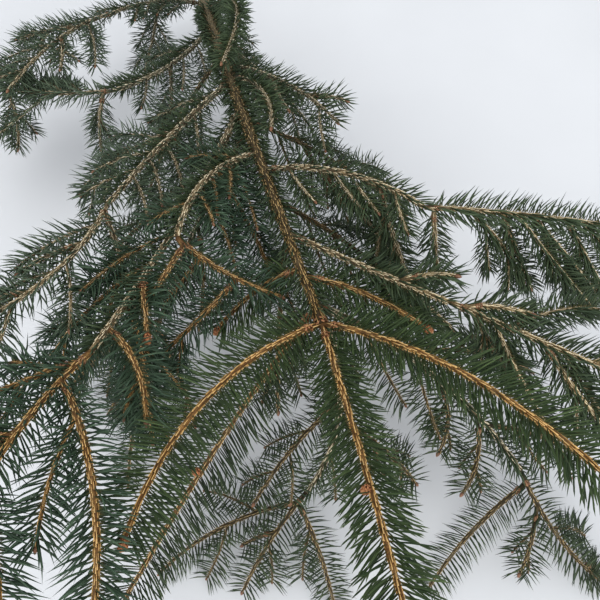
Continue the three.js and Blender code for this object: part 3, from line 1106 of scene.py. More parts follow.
@dataclass(frozen=True)
class BarkForm:
    """The tube of a twig or bough under its pegs, and how many needles share a peg of what size."""

    sides: int = 7
    step: float = 3.0
    roughness: float = 0.12
    slimmer: float = 0.72
    needles_each: int = 1
    peg_size: float = 1.0
    tip_share: float = 0.7
    least_rows: int = 4
    least_cells: tuple[int, int] = (2, 3)
    # Lift of the bark between the pegs, low for the painted shade of the gaps, and how far the noise of
    # its surface darkens its dents and lightens its bumps as painted shade and highlight.
    gap_lift: float = 0.1
    rough_lift: float = 0.2

    def clothed(self, limbs: Sequence[Limb], seats: Seats, rng: np.random.Generator) -> Patch:
        """The bark of some limbs with the pegs of their needles, whose seats it draws in to the bark.

        Args:
            limbs: the limbs.
            seats: where their needles sit.
            rng: the generator of the irregularities.

        Returns:
            Tubes and pegs as one patch.
        """
        seats.radius = seats.radius * self.slimmer
        tubes = [self.tube(limb, rng) for limb in limbs]
        return Patch.joined([*tubes, PEGS.build(seats.thinned(self.needles_each), rng, self.peg_size)])

    def tube(self, limb: Limb, rng: np.random.Generator) -> Patch:
        """Builds a limb's bark: its circle carried along its axis, roughened by smooth noise.

        Args:
            limb: the limb.
            rng: the generator of the roughness.

        Returns:
            The closed tube, marked with lift and age; its low lift gives it the painted shade of the gaps
            between the pegs.
        """
        rows = max(self.least_rows, round(limb.course.length / self.step) + 1)
        place = np.linspace(0, 1, rows)
        ahead, right, up = limb.axes(place)
        least_along, least_round = self.least_cells
        cells = (max(least_along, rows // 2), max(least_round, self.sides // 2))
        rough = round_noise(rng, (rows, self.sides), cells) - 0.5
        radius = (limb.radius_at(place) * self.slimmer)[:, None] + self.roughness * 2 * rough
        radius[-1] *= self.tip_share
        centre = limb.at(place)
        rings = centre[:, None, :] + radius[..., None] * circles(right, up, corner_angles(self.sides))
        years = np.broadcast_to(limb.age_at(place)[:, None], radius.shape)
        # Low lift paints shade on the bark between the pegs, deeper in the dents of the noise and lighter
        # on its bumps.
        marks = {"lift": self.gap_lift + self.rough_lift * rough, "age": years}
        tip = centre[-1] + ahead[-1] * radius[-1].mean()
        return tube(rested(rings), centre[0], rested(tip), marks)


# Shaders


class Wire:
    """A value that runs between a material's nodes; arithmetic on it adds Math nodes."""

    def __init__(self, bench: Bench, socket: bpy.types.NodeSocket) -> None:
        """Keeps the bench that the node stands on and its output socket."""
        self.bench = bench
        self.socket = socket

    def __add__(self, other: Wire | float) -> Wire:
        """The sum."""
        return self.bench.math("ADD", self, other)

    __radd__ = __add__

    def __sub__(self, other: Wire | float) -> Wire:
        """The difference."""
        return self.bench.math("SUBTRACT", self, other)

    def __rsub__(self, other: float) -> Wire:
        """The difference from a number."""
        return self.bench.math("SUBTRACT", other, self)

    def __mul__(self, other: Wire | float) -> Wire:
        """The product."""
        return self.bench.math("MULTIPLY", self, other)

    __rmul__ = __mul__

    def __pow__(self, other: float) -> Wire:
        """The power."""
        return self.bench.math("POWER", self, other)

    def __abs__(self) -> Wire:
        """The value without its sign."""
        return self.bench.math("ABSOLUTE", self, 0.0)

    def held(self) -> Wire:
        """The value held between 0 and 1."""
        return self.bench.math("ADD", self, 0.0, clamp=True)

    def past(self, start: float, slope: float) -> Wire:
        """A mask that rises from 0 where the value passes a start, by the slope, and stops at 1."""
        return ((self - start) * slope).held()


class Bench:
    """A material's nodes, added one by one and joined by wires."""

    def __init__(self, name: str) -> None:
        """Starts an empty material.

        Args:
            name: the material's name.
        """
        self.material = bpy.data.materials.new(name)
        self.material.use_nodes = True
        self.tree = self.material.node_tree
        self.tree.nodes.clear()
        self.place = self.add("ShaderNodeTexCoord", out="Object")

    def add(
        self,
        kind: str,
        settings: Mapping[str, object] | None = None,
        sockets: Mapping[str | int, object] | None = None,
        out: str | int = 0,
    ) -> Wire:
        """Adds a node.

        Args:
            kind: the node's type.
            settings: its own settings, among them the stops of a ramp as (position, colour).
            sockets: a value or a wire for each input, by name or number.
            out: the output that is wired on.

        Returns:
            The wire from that output.
        """
        node = self.tree.nodes.new(kind)
        for name, value in (settings or {}).items():
            if name == "stops":
                self.set_stops(node.color_ramp, value)
            else:
                setattr(node, name, value)
        for name, value in (sockets or {}).items():
            self.feed(node.inputs[name], value)
        return Wire(self, node.outputs[out])

    def set_stops(self, ramp: bpy.types.ColorRamp, stops: Sequence[tuple[float, Colour]]) -> None:
        """Gives a ramp its stops.

        Args:
            ramp: the ramp.
            stops: each position with its colour.
        """
        while len(ramp.elements) < len(stops):
            ramp.elements.new(1.0)
        for element, (position, colour) in zip(ramp.elements, stops):
            element.position = position
            element.color = (*colour, 1.0)

    def feed(self, socket: bpy.types.NodeSocket, value: object) -> None:
        """Sets a socket to a constant or links a wire to it.

        Args:
            socket: the input.
            value: a wire, a colour or a number.
        """
        if isinstance(value, Wire):
            self.tree.links.new(value.socket, socket)
        elif socket.type == "RGBA":
            socket.default_value = (*value, 1.0)
        else:
            socket.default_value = value

    def math(self, operation: str, a: Wire | float, b: Wire | float, clamp: bool = False) -> Wire:
        """Adds a Math node."""
        return self.add("ShaderNodeMath", {"operation": operation, "use_clamp": clamp}, {0: a, 1: b})

    def mixed(self, a: Wire | Colour, b: Wire | Colour, share: Wire | float) -> Wire:
        """Mixes two colours by a share."""
        settings = {"data_type": "RGBA", "blend_type": "MIX", "clamp_factor": True}
        return self.add("ShaderNodeMix", settings, {0: share, 6: a, 7: b}, out=2)

    def mark(self, name: str) -> Wire:
        """Reads one of the mesh's marks."""
        return self.add("ShaderNodeAttribute", {"attribute_name": name}, out="Fac")

    def noise(self, scale: float, detail: float = 2.0, rough: float = 0.5) -> Wire:
        """Noise from 0 to 1 in the piece's own space, with the scale per metre."""
        sockets = {"Vector": self.place, "Scale": scale, "Detail": detail, "Roughness": rough}
        return self.add("ShaderNodeTexNoise", None, sockets)

    def bump(self, height: Wire, strength: float, distance: float) -> Wire:
        """Turns a height into a normal."""
        sockets = {"Strength": strength, "Distance": distance, "Height": height}
        return self.add("ShaderNodeBump", None, sockets, out="Normal")

    def finished(
        self, colour: Wire, noise: Wire, roughness: Pair, normal: Wire | None = None, gloss: float = 0.5
    ) -> bpy.types.Material:
        """Adds the surface shader and the output.

        Args:
            colour: the base colour.
            noise: what varies the roughness.
            roughness: the least, and how much the noise adds.
            normal: the relief, if any.
            gloss: the specular level.

        Returns:
            The material.
        """
        least, spread = roughness
        sockets = {"Base Color": colour, "Specular IOR Level": gloss, "Roughness": least + spread * noise}
        if normal:
            sockets["Normal"] = normal
        output = self.tree.nodes.new("ShaderNodeOutputMaterial")
        self.feed(output.inputs["Surface"], self.add("ShaderNodeBsdfPrincipled", None, sockets))
        return self.material

    def ramp(self, height: Wire, stops: Sequence[float], colours: Sequence[Colour]) -> Wire:
        """A colour that follows a height through some colours, each at its stop."""
        return self.add("ShaderNodeValToRGB", {"stops": tuple(zip(stops, colours))}, {0: height})


@dataclass(frozen=True)
class NeedleFinish:
    """Waxy needle green: each needle has its tone, a pale root, and faint rows of breathing pores."""

    name: str
    shade: Colour
    light: Colour
    bloom: Colour = (0.13, 0.20, 0.18)
    root: Colour = (0.20, 0.15, 0.05)
    tip: Colour = (0.16, 0.15, 0.05)
    tone_share: float = 0.7
    tone_power: float = 1.6
    mottle_share: float = 0.38
    bloom_share: float = 0.3
    bloom_power: float = 3.0
    root_fade: Pair = (0.55, 5.0)
    tip_start: float = 5.4
    tip_slope: float = 6.0
    tip_share: float = 0.5
    mottle_scale: float = 260.0
    pore_scale: float = 2400.0
    pore_bump: Pair = (0.25, 0.0001)
    roughness: Pair = (0.36, 0.16)
    gloss: float = 0.14

    def material(self) -> bpy.types.Material:
        """Lays rows of pores, a pale root and a brown tip over each needle's own tone.

        Returns:
            The material of the waxy needles.
        """
        bench = Bench(self.name)
        mottle = bench.noise(self.mottle_scale)
        pores = bench.noise(self.pore_scale, detail=1.0)
        reach = bench.mark("reach")
        tone = self.tone_share * bench.mark("tone") ** self.tone_power
        colour = bench.mixed(self.shade, self.light, tone + self.mottle_share * mottle)
        rows = (1.0 - abs(2.0 * bench.mark("flank") - 1.0)) ** self.bloom_power
        colour = bench.mixed(colour, self.bloom, rows * pores * self.bloom_share)
        at_root, slope = self.root_fade
        colour = bench.mixed(colour, self.root, (at_root - slope * reach).held())
        at_tip = (self.tip_slope * reach - self.tip_start).held()
        colour = bench.mixed(colour, self.tip, at_tip * self.tip_share)
        relief = bench.bump(pores, *self.pore_bump)
        return bench.finished(colour, mottle, self.roughness, relief, self.gloss)


@dataclass(frozen=True)
class BarkFinish:
    """Bark of colours that go from gaps through flanks to peg tops, and from young to old with age: dark
    gaps as painted shade, pale tops partly as painted highlight.
    """

    name: str
    young: Colours
    stops: tuple[float, float, float]
    old: Colours = ((0.028, 0.026, 0.016), (0.17, 0.135, 0.080), (0.78, 0.67, 0.46))
    blotch: Colour = (0.12, 0.070, 0.028)
    blotch_share: float = 0.42
    blotch_edge: Pair = (0.52, 5.0)
    lichen: Colour = (0.22, 0.25, 0.17)
    lichen_share: float = 0.25
    lichen_edge: Pair = (0.56, 6.0)
    patch_scale: float = 170.0
    patch_age: float = 0.6
    grain_scale: float = 1500.0
    grain_lift: float = 0.5
    grain_bump: Pair = (0.55, 0.0003)
    roughness: Pair = (0.62, 0.25)
    gloss: float = 0.2

    def material(self) -> bpy.types.Material:
        """Blends young and old colours by age, then adds blotches and lichen.

        Returns:
            The material of the bark.
        """
        bench = Bench(self.name)
        patches = bench.noise(self.patch_scale, detail=3.0)
        grain = bench.noise(self.grain_scale, detail=3.0, rough=0.6)
        age = bench.mark("age")
        # The lift picks each colour: low gaps and dents take the dark one as painted shade, high peg tops
        # and plates a pale one that is partly painted highlight.
        height = (bench.mark("lift") + self.grain_lift * (grain - 0.5)).held()
        fresh = bench.ramp(height, self.stops, self.young)
        worn = bench.ramp(height, self.stops, self.old)
        colour = bench.mixed(fresh, worn, (age + self.patch_age * (patches - 0.5)).held())
        colour = bench.mixed(colour, self.blotch, patches.past(*self.blotch_edge) * self.blotch_share)
        spots = patches.past(*self.lichen_edge) * age * self.lichen_share
        colour = bench.mixed(colour, self.lichen, spots)
        relief = bench.bump(grain, *self.grain_bump)
        return bench.finished(colour, grain, self.roughness, relief, self.gloss)


@dataclass(frozen=True)
class CutWoodFinish:
    """Pale sawn softwood: growth rings round the pith, and fine radial checks."""

    name: str
    early: Colour = (0.70, 0.53, 0.34)
    late: Colour = (0.42, 0.26, 0.13)
    pith: Colour = (0.30, 0.17, 0.08)
    rings: float = 7.0
    ring_drift: float = 0.25
    late_power: float = 5.0
    late_share: float = 0.9
    pith_slope: float = 9.0
    check_edge: Pair = (0.55, 3.0)
    check_share: float = 0.5
    grain_scale: float = 900.0
    grain_bump: Pair = (0.4, 0.0002)
    roughness: Pair = (0.72, 0.15)

    def material(self) -> bpy.types.Material:
        """Repeats early and late wood outwards, then darkens the pith and the checks.

        Returns:
            The material of the cut wood.
        """
        bench = Bench(self.name)
        grain = bench.noise(self.grain_scale, detail=4.0)
        out = bench.mark("ring")
        year = bench.math("FRACT", out * self.rings + self.ring_drift * grain, 0.0)
        colour = bench.mixed(self.early, self.late, year**self.late_power * self.late_share)
        colour = bench.mixed(colour, self.pith, (1.0 - self.pith_slope * out).held())
        colour = bench.mixed(colour, self.late, grain.past(*self.check_edge) * self.check_share)
        return bench.finished(colour, grain, self.roughness, bench.bump(grain, *self.grain_bump))


@dataclass(frozen=True)
class BudFinish:
    """Dry red-brown bud scales, paler and frayed at their edges; old ones turn grey-brown."""

    name: str
    deep: Colour = (0.08, 0.020, 0.008)
    body: Colour = (0.38, 0.130, 0.044)
    edge: Colour = (0.66, 0.34, 0.15)
    worn: Colour = (0.10, 0.062, 0.036)
    worn_share: float = 0.85
    stops: tuple[float, float, float] = (0.0, 0.45, 1.0)
    grain_scale: float = 1300.0
    grain_lift: float = 0.45
    grain_bump: Pair = (0.4, 0.0002)
    roughness: Pair = (0.42, 0.3)

    def material(self) -> bpy.types.Material:
        """Colours the scales from gap to edge, and dulls them by age.

        Returns:
            The material of the buds.
        """
        bench = Bench(self.name)
        grain = bench.noise(self.grain_scale, detail=3.0)
        height = (bench.mark("lift") + self.grain_lift * (grain - 0.5)).held()
        colour = bench.ramp(height, self.stops, (self.deep, self.body, self.edge))
        colour = bench.mixed(colour, self.worn, bench.mark("age") * self.worn_share)
        return bench.finished(colour, grain, self.roughness, bench.bump(grain, *self.grain_bump))


@dataclass(frozen=True)
class FloorFinish:
    """A plain pale floor with a faint unevenness."""

    name: str
    pale: Colour = (0.56, 0.57, 0.58)
    paler: Colour = (0.62, 0.63, 0.64)
    scale: float = 9.0
    roughness: Pair = (0.85, 0.1)

    def material(self) -> bpy.types.Material:
        """Clouds one pale grey with another.

        Returns:
            The material of the floor.
        """
        bench = Bench(self.name)
        cloud = bench.noise(self.scale, detail=4.0)
        colour = bench.mixed(self.pale, self.paler, cloud)
        return bench.finished(colour, cloud, self.roughness)


class Bark(Enum):
    """The barks: brown on the stem and low twigs, pale on the older twigs, golden on the youngest."""

    # Each triple runs from the gaps, dark as painted shade, through the flanks to the peg tops, pale
    # partly as painted highlight.
    STEM = BarkFinish(
        "bark_brown_braided",
        ((0.032, 0.020, 0.007), (0.22, 0.125, 0.034), (0.76, 0.53, 0.21)),
        (0.12, 0.50, 1.0),
        ((0.024, 0.021, 0.011), (0.16, 0.120, 0.058), (0.74, 0.60, 0.36)),
    )
    TWIG = BarkFinish(
        "twig_bark_pale",
        ((0.066, 0.041, 0.017), (0.48, 0.34, 0.16), (0.96, 0.84, 0.58)),
        (0.06, 0.36, 0.80),
        ((0.036, 0.034, 0.022), (0.30, 0.26, 0.17), (0.95, 0.88, 0.68)),
        blotch=(0.075, 0.050, 0.026),
        blotch_share=0.34,
    )
    SHOOT = BarkFinish(
        "shoot_bark_golden",
        ((0.105, 0.048, 0.015), (0.48, 0.26, 0.072), (0.85, 0.60, 0.27)),
        (0.10, 0.42, 0.95),
    )


class Tint(Enum):
    """The greens of the sprays, each dealt out to whole sprays."""

    FRESH = NeedleFinish("needle_green_fresh", (0.007, 0.018, 0.003), (0.069, 0.104, 0.033))
    COOL = NeedleFinish("needle_green_cool", (0.006, 0.018, 0.007), (0.064, 0.104, 0.058))
    DEEP = NeedleFinish("needle_green_deep", (0.007, 0.017, 0.004), (0.072, 0.099, 0.045))
    # BLUISH is paler than the other greens as painted haze: its lighter colour stands in for the bright
    # ground blurred over the sprays it is dealt to.
    BLUISH = NeedleFinish("needle_green_bluish", (0.012, 0.024, 0.010), (0.105, 0.140, 0.085))
    SHADED = NeedleFinish("needle_green_shaded", (0.007, 0.016, 0.004), (0.060, 0.082, 0.034))


# The sub-assemblies


@dataclass
class MainStem:
    """The main stem from its cut butt to the ring of shoots, in scaly bark."""

    limb: Limb
    branches: Sequence[Limb]
    sides: int = 40
    step: float = 0.9
    flake_cells: tuple[int, int] = (150, 11)
    flake_height: float = 0.5
    flake_level: float = 0.7
    fine_cells: tuple[int, int] = (420, 30)
    fine_height: float = 0.22
    # Lift in the cracks, on the plates and by the fine noise: low in the cracks for painted shade, high
    # on old plates for a pale colour that is partly painted highlight.
    gap_lift: float = 0.03
    flake_lift: float = 0.3
    fine_lift: float = 0.25
    swell_height: float = 0.22
    swell_length: float = 5.0
    swell_width: float = 0.75
    swell_aim: float = 0.1
    butt_length: float = 14.0
    slim_butt: float = 0.95
    slim_tip: float = 0.8
    bark_share: float = 0.88
    recess: float = 0.35
    depth: float = 1.4
    end_length: float = 1.2
    disc_rings: int = 16
    disc_overlap: float = 0.03
    disc_depth: float = 1.8
    saw_marks: float = 5.5
    saw_drift: float = 1.5
    saw_relief: tuple[float, float, float] = (0.35, 0.12, 0.1)
    peg_spacing: float = 0.2
    peg_size: float = 1.25
    seed: int = 11

    def share_at(self, place: Array) -> Array:
        """How much of the radius is wood and bark, under the pegs: less where the stem is young."""
        return self.slim_butt + (self.slim_tip - self.slim_butt) * place

    def swelling(self, place: Array, theta: Array) -> Array:
        """How far the stem swells where branches leave it.

        Formula: for each branch, a bell along the stem times a bell round it towards the branch.

        Args:
            place: shares of the length.
            theta: angles from right towards up.

        Returns:
            Shares of the radius, as (place, angle).
        """
        swell = np.zeros((len(place), len(theta)))
        for branch in self.branches:
            gaps = ((self.limb.points - branch.points[0]) ** 2).sum(axis=1)
            at = np.argmin(gaps) / (len(self.limb.points) - 1)
            _, right, up = self.limb.axes(at)
            ahead = branch.axes(self.swell_aim)[0]
            towards = math.atan2(float(ahead @ up), float(ahead @ right))
            along = (place - at) * self.limb.course.length / self.swell_length
            round_it = ((theta - towards + math.pi) % FULL_TURN - math.pi) / self.swell_width
            swell += self.swell_height * np.exp(-(along**2))[:, None] * np.exp(-(round_it**2))[None, :]
        return np.minimum(swell, self.swell_height)

    def rings(self, rng: np.random.Generator) -> tuple[Array, Array, Array]:
        """Works out the bark's surface.

        Formula: the circle of each place stands out by the even taper, swollen at the branches, plus
        plates of bark as deep as they are old and fine noise; bud scales make up the hub. Near the butt
        each corner slides along the stem towards the upright cut, all the way at the cut itself.

        Args:
            rng: the generator of the relief.

        Returns:
            The corners as (ring, corner, axis), their lift and their age.
        """
        rows = round(self.limb.course.length / self.step) + 1
        place = np.linspace(0, 1, rows)
        theta = corner_angles(self.sides)
        shape = (rows, self.sides)
        age = np.broadcast_to(self.limb.age_at(place)[:, None], shape)
        plates = flakes(rng, shape, self.flake_cells)
        fine = round_noise(rng, shape, self.fine_cells)
        taper = Limb.radius_at(self.limb, place)[:, None]
        radius = taper * (self.share_at(place)[:, None] + self.swelling(place, theta))
        relief = self.flake_height * (plates - self.flake_level) + self.fine_height * (fine - 0.5)
        radius = radius + age * relief
        ahead, right, up = self.limb.axes(place)
        corners = self.limb.at(place)[:, None, :] + radius[..., None] * circles(right, up, theta)
        slide = np.clip(1 - place * self.limb.course.length / self.butt_length, 0, 1)[:, None]
        corners = corners - (slide * corners[..., 1] / ahead[0, 1])[..., None] * ahead[0]
        # Painted shade in the cracks, where the lift is low, and a pale colour on the old plates that is
        # partly painted highlight.
        lift = self.gap_lift + self.flake_lift * age * plates + self.fine_lift * (fine - 0.5)
        return corners, np.clip(lift, 0, 1), age

    def build(self, bark: bpy.types.Material, wood: bpy.types.Material) -> list[bpy.types.Object]:
        """Builds the bark with its worn pegs, and the wood of the cut.

        Args:
            bark: the finish of the bark.
            wood: the finish of the cut.

        Returns:
            The bark and the cut.
        """
        rng = np.random.default_rng(self.seed)
        corners, lift, age = self.rings(rng)
        centre = np.zeros(3)
        edge = corners[0]
        inner = centre + (edge - centre) * self.bark_share
        sunk = inner + self.limb.axes(0.0)[0] * self.depth
        rings = np.concatenate([sunk[None], inner[None], corners])
        marks = {
            "lift": np.concatenate([np.full((2, self.sides), self.gap_lift), lift]),
            "age": np.concatenate([age[:2], age]),
        }
        tip = corners[-1].mean(axis=0) + self.limb.axes(1.0)[0] * self.end_length
        patch = tube(rings, sunk.mean(axis=0), tip, marks)
        form = NeedleForm(spacing=self.peg_spacing)
        seats = form.seats(self.limb, rng, self.butt_length)
        seats.radius = seats.radius * self.share_at(np.linspace(0, 1, len(seats.radius)))
        worn = PEGS.build(seats, rng, self.peg_size)
        bark_piece = raise_piece("main_stem_bark", Patch.joined([patch, worn]), bark)
        return [bark_piece, self.cut(edge, rng, wood)]

    def cut(self, edge: Array, rng: np.random.Generator, wood: bpy.types.Material) -> bpy.types.Object:
        """Builds the wood of the upright cut.

        Formula: the bark's inner edge shrinks evenly to the pith, pushed in by saw marks that run
        level across the face; a ring behind it closes the disc inside the bark.

        Args:
            edge: the bark's outer edge on the cut.
            rng: the generator of the saw marks.
            wood: the finish.

        Returns:
            The piece.
        """
        share = np.linspace(self.disc_overlap, self.bark_share + self.disc_overlap, self.disc_rings)
        face = share[:, None, None] * edge[None]
        marks = np.sin(face[..., 2] * self.saw_marks + self.saw_drift * np.sin(face[..., 0]))
        level, deep, rough = self.saw_relief
        face[..., 1] -= self.recess * (level + deep * marks + rough * rng.random(face.shape[:2]))
        behind = edge * share[-1] + self.limb.axes(0.0)[0] * self.disc_depth
        rings = np.concatenate([face, behind[None]])
        out = np.concatenate([share, share[-1:]]) / share[-1]
        marks = {"ring": np.broadcast_to(out[:, None], rings.shape[:2])}
        patch = tube(rings, face[0].mean(axis=0), behind.mean(axis=0), marks)
        return raise_piece("butt_cut_wood", patch, wood)


@dataclass
class Bough:
    """One bough in its bark, with the pegs of its needles."""

    limb: Limb
    # Wear: how old the bark is at least, which greys it as old bark and on the low boughs also darkens it
    # as painted shade.
    wear: float = 0.0
    form: BarkForm = BarkForm(sides=12, step=1.5, roughness=0.2, slimmer=0.58, peg_size=1.2)
    needle_form: NeedleForm = NeedleForm(spacing=0.42)

    def build(self, rng: np.random.Generator, bark: bpy.types.Material) -> tuple[bpy.types.Object, Seats]:
        """Builds the bark and its pegs.

        Args:
            rng: the generator of the irregularities.
            bark: the finish.

        Returns:
            The bark, and the seats of its needles.
        """
        seats = self.needle_form.seats(self.limb, rng, self.limb.bare_root())
        patch = self.form.clothed([self.limb], seats, rng).worn(self.wear)
        return raise_piece(self.limb.name + "_bark", patch, bark), seats


@dataclass
class Spray:
    """Masses that hang together: twigs with pegs in one piece, needles in another.

    The finer twigs of the named boughs hang with them. The bark is at least as worn as the wear, which
    greys it as old bark and on the lower sprays also darkens it as painted shade.
    """

    name: str
    masses: tuple[str, ...]
    tint: Tint
    form: NeedleForm
    bark_form: BarkForm = BarkForm()
    bark: Bark = Bark.TWIG
    boughs: tuple[str, ...] = ()
    wear: float = 0.0

    def build(
        self, skeleton: Skeleton, rng: np.random.Generator, barks: Mapping[Bark, bpy.types.Material]
    ) -> tuple[bpy.types.Object, bpy.types.Object]:
        """Builds the twigs and the needles of all the masses.

        Args:
            skeleton: where the limbs are.
            rng: the generator of the irregularities.
            barks: the material of each bark.

        Returns:
            The twigs and the needles.
        """
        limbs = [limb for name in self.masses for limb in skeleton.twigs[name]]
        limbs += [limb for name in (*self.masses, *self.boughs) for limb in skeleton.finer[name]]
        seats = Seats.joined([self.form.seats(limb, rng, limb.bare_root()) for limb in limbs])
        wood = self.bark_form.clothed(limbs, seats, rng).worn(self.wear)
        twigs = raise_piece(self.name + "_twigs", wood, barks[self.bark])
        needles = self.form.needles(seats, rng)
        return twigs, raise_piece(self.name + "_needles", needles, self.tint.value.material())


BudRows = tuple[Array, Array, Array, Array]


@dataclass
class Buds:
    """Buds at the tips and sides of the twigs, and the old bud scales round the foot of each shoot."""

    sides: int = 6
    profile: tuple[Pair, ...] = ((0.0, 0.66), (0.3, 1.0), (0.58, 0.86), (0.84, 0.42))
    shoot_size: Pair = (5.2, 1.5)
    beside_size: Pair = (4.6, 1.5)
    twig_size: Pair = (3.4, 1.1)
    finer_size: Pair = (2.4, 0.8)
    tiers: tuple[float, ...] = (0.0, 0.22, 0.44, 0.64)
    core_lift: Pair = (0.15, 0.5)
    tier_reach: float = 0.36
    tier_scale_length: float = 0.42
    tier_scale_width: float = 1.9
    tier_least_share: float = 0.5
    tier_curl: float = 0.1
    scales_each: int = 5
    collar_scales: int = 8
    collar_rows: tuple[Pair, ...] = ((0.2, 0.4), (1.4, 0.2), (2.8, 0.1))
    collar_radius: float = 0.62
    collar_last: float = 0.9
    hub_collar_size: float = 1.0
    worn_collar_size: float = 0.75
    hub_scales: int = 10
    hub_rows: tuple[Pair, ...] = ((3.2, 0.15), (1.4, 0.1))
    hub_radius: float = 2.5
    dullness: float = 0.75
    side_buds: tuple[tuple[str, float, float], ...] = (
        ("leader_shoot", 0.58, 62.0),
        ("leader_shoot", 0.93, -50.0),
        ("right_tip_shoot", 0.9, 60.0),
        ("left_under_shoot", 0.6, 40.0),
    )
    side_lean: float = 0.8
    side_foot: float = 0.7
    tip_seat: float = 0.6
    scale_length: float = 2.5
    scale_lengths: Pair = (0.7, 1.2)
    scale_width: float = 2.2
    scale_widths: Pair = (0.8, 1.2)
    scale_lift: tuple[float, ...] = (0.2, 0.2, 0.6, 0.6, 1.0, 0.1)
    foot_half: float = 0.38
    belly: float = 0.16
    belly_curl: float = 0.2
    back_place: float = 0.4
    back_depth: float = 0.06
    curl: float = 0.2
    splay: float = 0.25
    wear_power: float = 0.5

    def cores(self, foot: Array, ahead: Array, length: Array, radius: Array, age: float = 0.0) -> Patch:
        """Builds the pointed egg of each bud.

        Formula: rings of the profile's shares of the radius at its shares of the length, closed to a
        point at each end.

        Args:
            foot: where each bud starts.
            ahead: where it points.
            length: how long it is.
            radius: how thick it is.
            age: how worn they all are, from 0 to 1.

        Returns:
            The buds as one patch.
        """
        out = circles(*level_axes(ahead), corner_angles(self.sides))
        rings = []
        for place, share in self.profile:
            centre = foot + (place * length)[:, None] * ahead
            rings.append(centre[:, None, :] + (share * radius)[:, None, None] * out)
        ends = np.stack([foot, foot + length[:, None] * ahead], axis=1)
        points = np.concatenate([*rings, ends], axis=1)
        one = tube(np.zeros((len(self.profile), self.sides, 3)), np.zeros(3), np.zeros(3))
        lift = np.tile(np.linspace(*self.core_lift, points.shape[1]), len(foot))
        marks = {"lift": lift, "age": np.full(len(lift), age)}
        return Patch.repeated(points, one.quads, one.triangles, marks)

    def scales(
        self,
        foot: Array,
        along: Array,
        out: Array,
        length: Array,
        width: Array,
        curl: Array,
        age: float = 0.0,
    ) -> Patch:
        """Builds thin pointed scales.

        Formula: two corners at the foot, two at the widest place, which stand out a little, the tip,
        which stands out by the curl, and one corner behind that closes the scale.

        Args:
            foot: the middle of each scale's foot.
            along: where it points.
            out: the way its outer side faces.
            length: how long it is.
            width: how wide it is.
            curl: how far its tip stands out.
            age: how worn they are, from 0 to 1.

        Returns:
            The scales as one patch.
        """
        across = np.cross(along, out)
        length, width, curl = length[:, None], width[:, None], curl[:, None]
        middle = foot + 0.5 * length * along + (self.belly * length + self.belly_curl * curl) * out
        corners = [
            foot - self.foot_half * width * across,
            foot + self.foot_half * width * across,
            middle + 0.5 * width * across,
            middle - 0.5 * width * across,
            foot + length * along + curl * out,
            foot + self.back_place * length * along - self.back_depth * length * out,
        ]
        points = np.stack(corners, axis=1)
        outside = [[0, 1, 2], [0, 2, 3], [3, 2, 4]]
        inside = [[1, 0, 5], [0, 3, 5], [3, 4, 5], [4, 2, 5], [2, 1, 5]]
        lift = np.tile(self.scale_lift, len(foot))
        marks = {"lift": lift, "age": np.full(len(lift), age)}
        return Patch.repeated(points, NO_QUADS, np.array(outside + inside), marks)

    def clothed(self, foot: Array, ahead: Array, length: Array, radius: Array) -> Patch:
        """Buds in tiers of overlapping scales, each tier turned half a scale from the last.

        Args:
            foot: where each bud starts.
            ahead: where it points.
            length: how long it is.
            radius: how thick it is.

        Returns:
            The buds with their scales as one patch.
        """
        patches = [self.cores(foot, ahead, length, radius)]
        right, up = level_axes(ahead)
        places, shares = np.array([*self.profile, (1.0, 0.0)]).T
        for tier, start in enumerate(self.tiers):
            here, there = np.interp([start, min(start + self.tier_reach, 1.0)], places, shares)
            for k in range(self.scales_each):
                angle = FULL_TURN * (k + 0.5 * (tier % 2)) / self.scales_each
                radial = math.cos(angle) * right + math.sin(angle) * up
                base = foot + (start * length)[:, None] * ahead + (here * radius)[:, None] * radial
                inward = ((there - here) * radius)[:, None] * radial
                along = unit(inward + (self.tier_reach * length)[:, None] * ahead)
                long = self.tier_scale_length * length
                wide = self.tier_scale_width * radius * max(here, self.tier_least_share)
                out = square_to(along, radial)
                patches.append(self.scales(base, along, out, long, wide, self.tier_curl * radius))
        return Patch.joined(patches)

    def ring(
        self,
        limb: Limb,
        place: float,
        radius: float,
        lean: float,
        size: float,
        count: int,
        rng: np.random.Generator,
        dullness: float = 0.0,
    ) -> Patch:
        """One ring of bud scales round a limb, as worn as its bark is old.

        Args:
            limb: the limb.
            place: the share of its length.
            radius: how far from its axis their feet are.
            lean: how far they lean outwards at least.
            size: their size as a share of the usual one.
            count: how many there are.
            rng: the generator of their small irregularities.
            dullness: how worn they are at least, from 0 to 1.

        Returns:
            The scales as one patch.
        """
        places = np.full(count, place)
        ahead, right, up = limb.axes(places)
        angle = FULL_TURN * (np.arange(count) + rng.random(count)) / count
        radial = np.cos(angle)[:, None] * right + np.sin(angle)[:, None] * up
        along = unit(ahead + (lean + self.splay * rng.random(count))[:, None] * radial)
        out = square_to(along, radial)
        foot = limb.at(places) + radius * radial
        length = size * self.scale_length * dealt(rng, self.scale_lengths, count)
        width = size * self.scale_width * dealt(rng, self.scale_widths, count)
        age = max(dullness, float(limb.age_at(place)) ** self.wear_power)
        return self.scales(foot, along, out, length, width, self.curl * length, age)

    def collars(
        self, limbs: Sequence[Limb], size: float, rng: np.random.Generator, dullness: float = 0.0
    ) -> list[Patch]:
        """Rings of old scales that bend back round the foot of each shoot.

        Args:
            limbs: the shoots.
            size: the scales' size as a share of the usual one.
            rng: the generator of their small irregularities.
            dullness: how worn they are at least, from 0 to 1.

        Returns:
            A patch for each ring.
        """
        patches = []
        for limb in limbs:
            clear = limb.bare_root()
            for shift, lean in self.collar_rows:
                place = min((clear + shift * size) / limb.course.length, self.collar_last)
                radius = self.collar_radius * size * limb.radius
                row = self.ring(limb, place, radius, lean, size, self.collar_scales, rng, dullness)
                patches.append(row)
        return patches

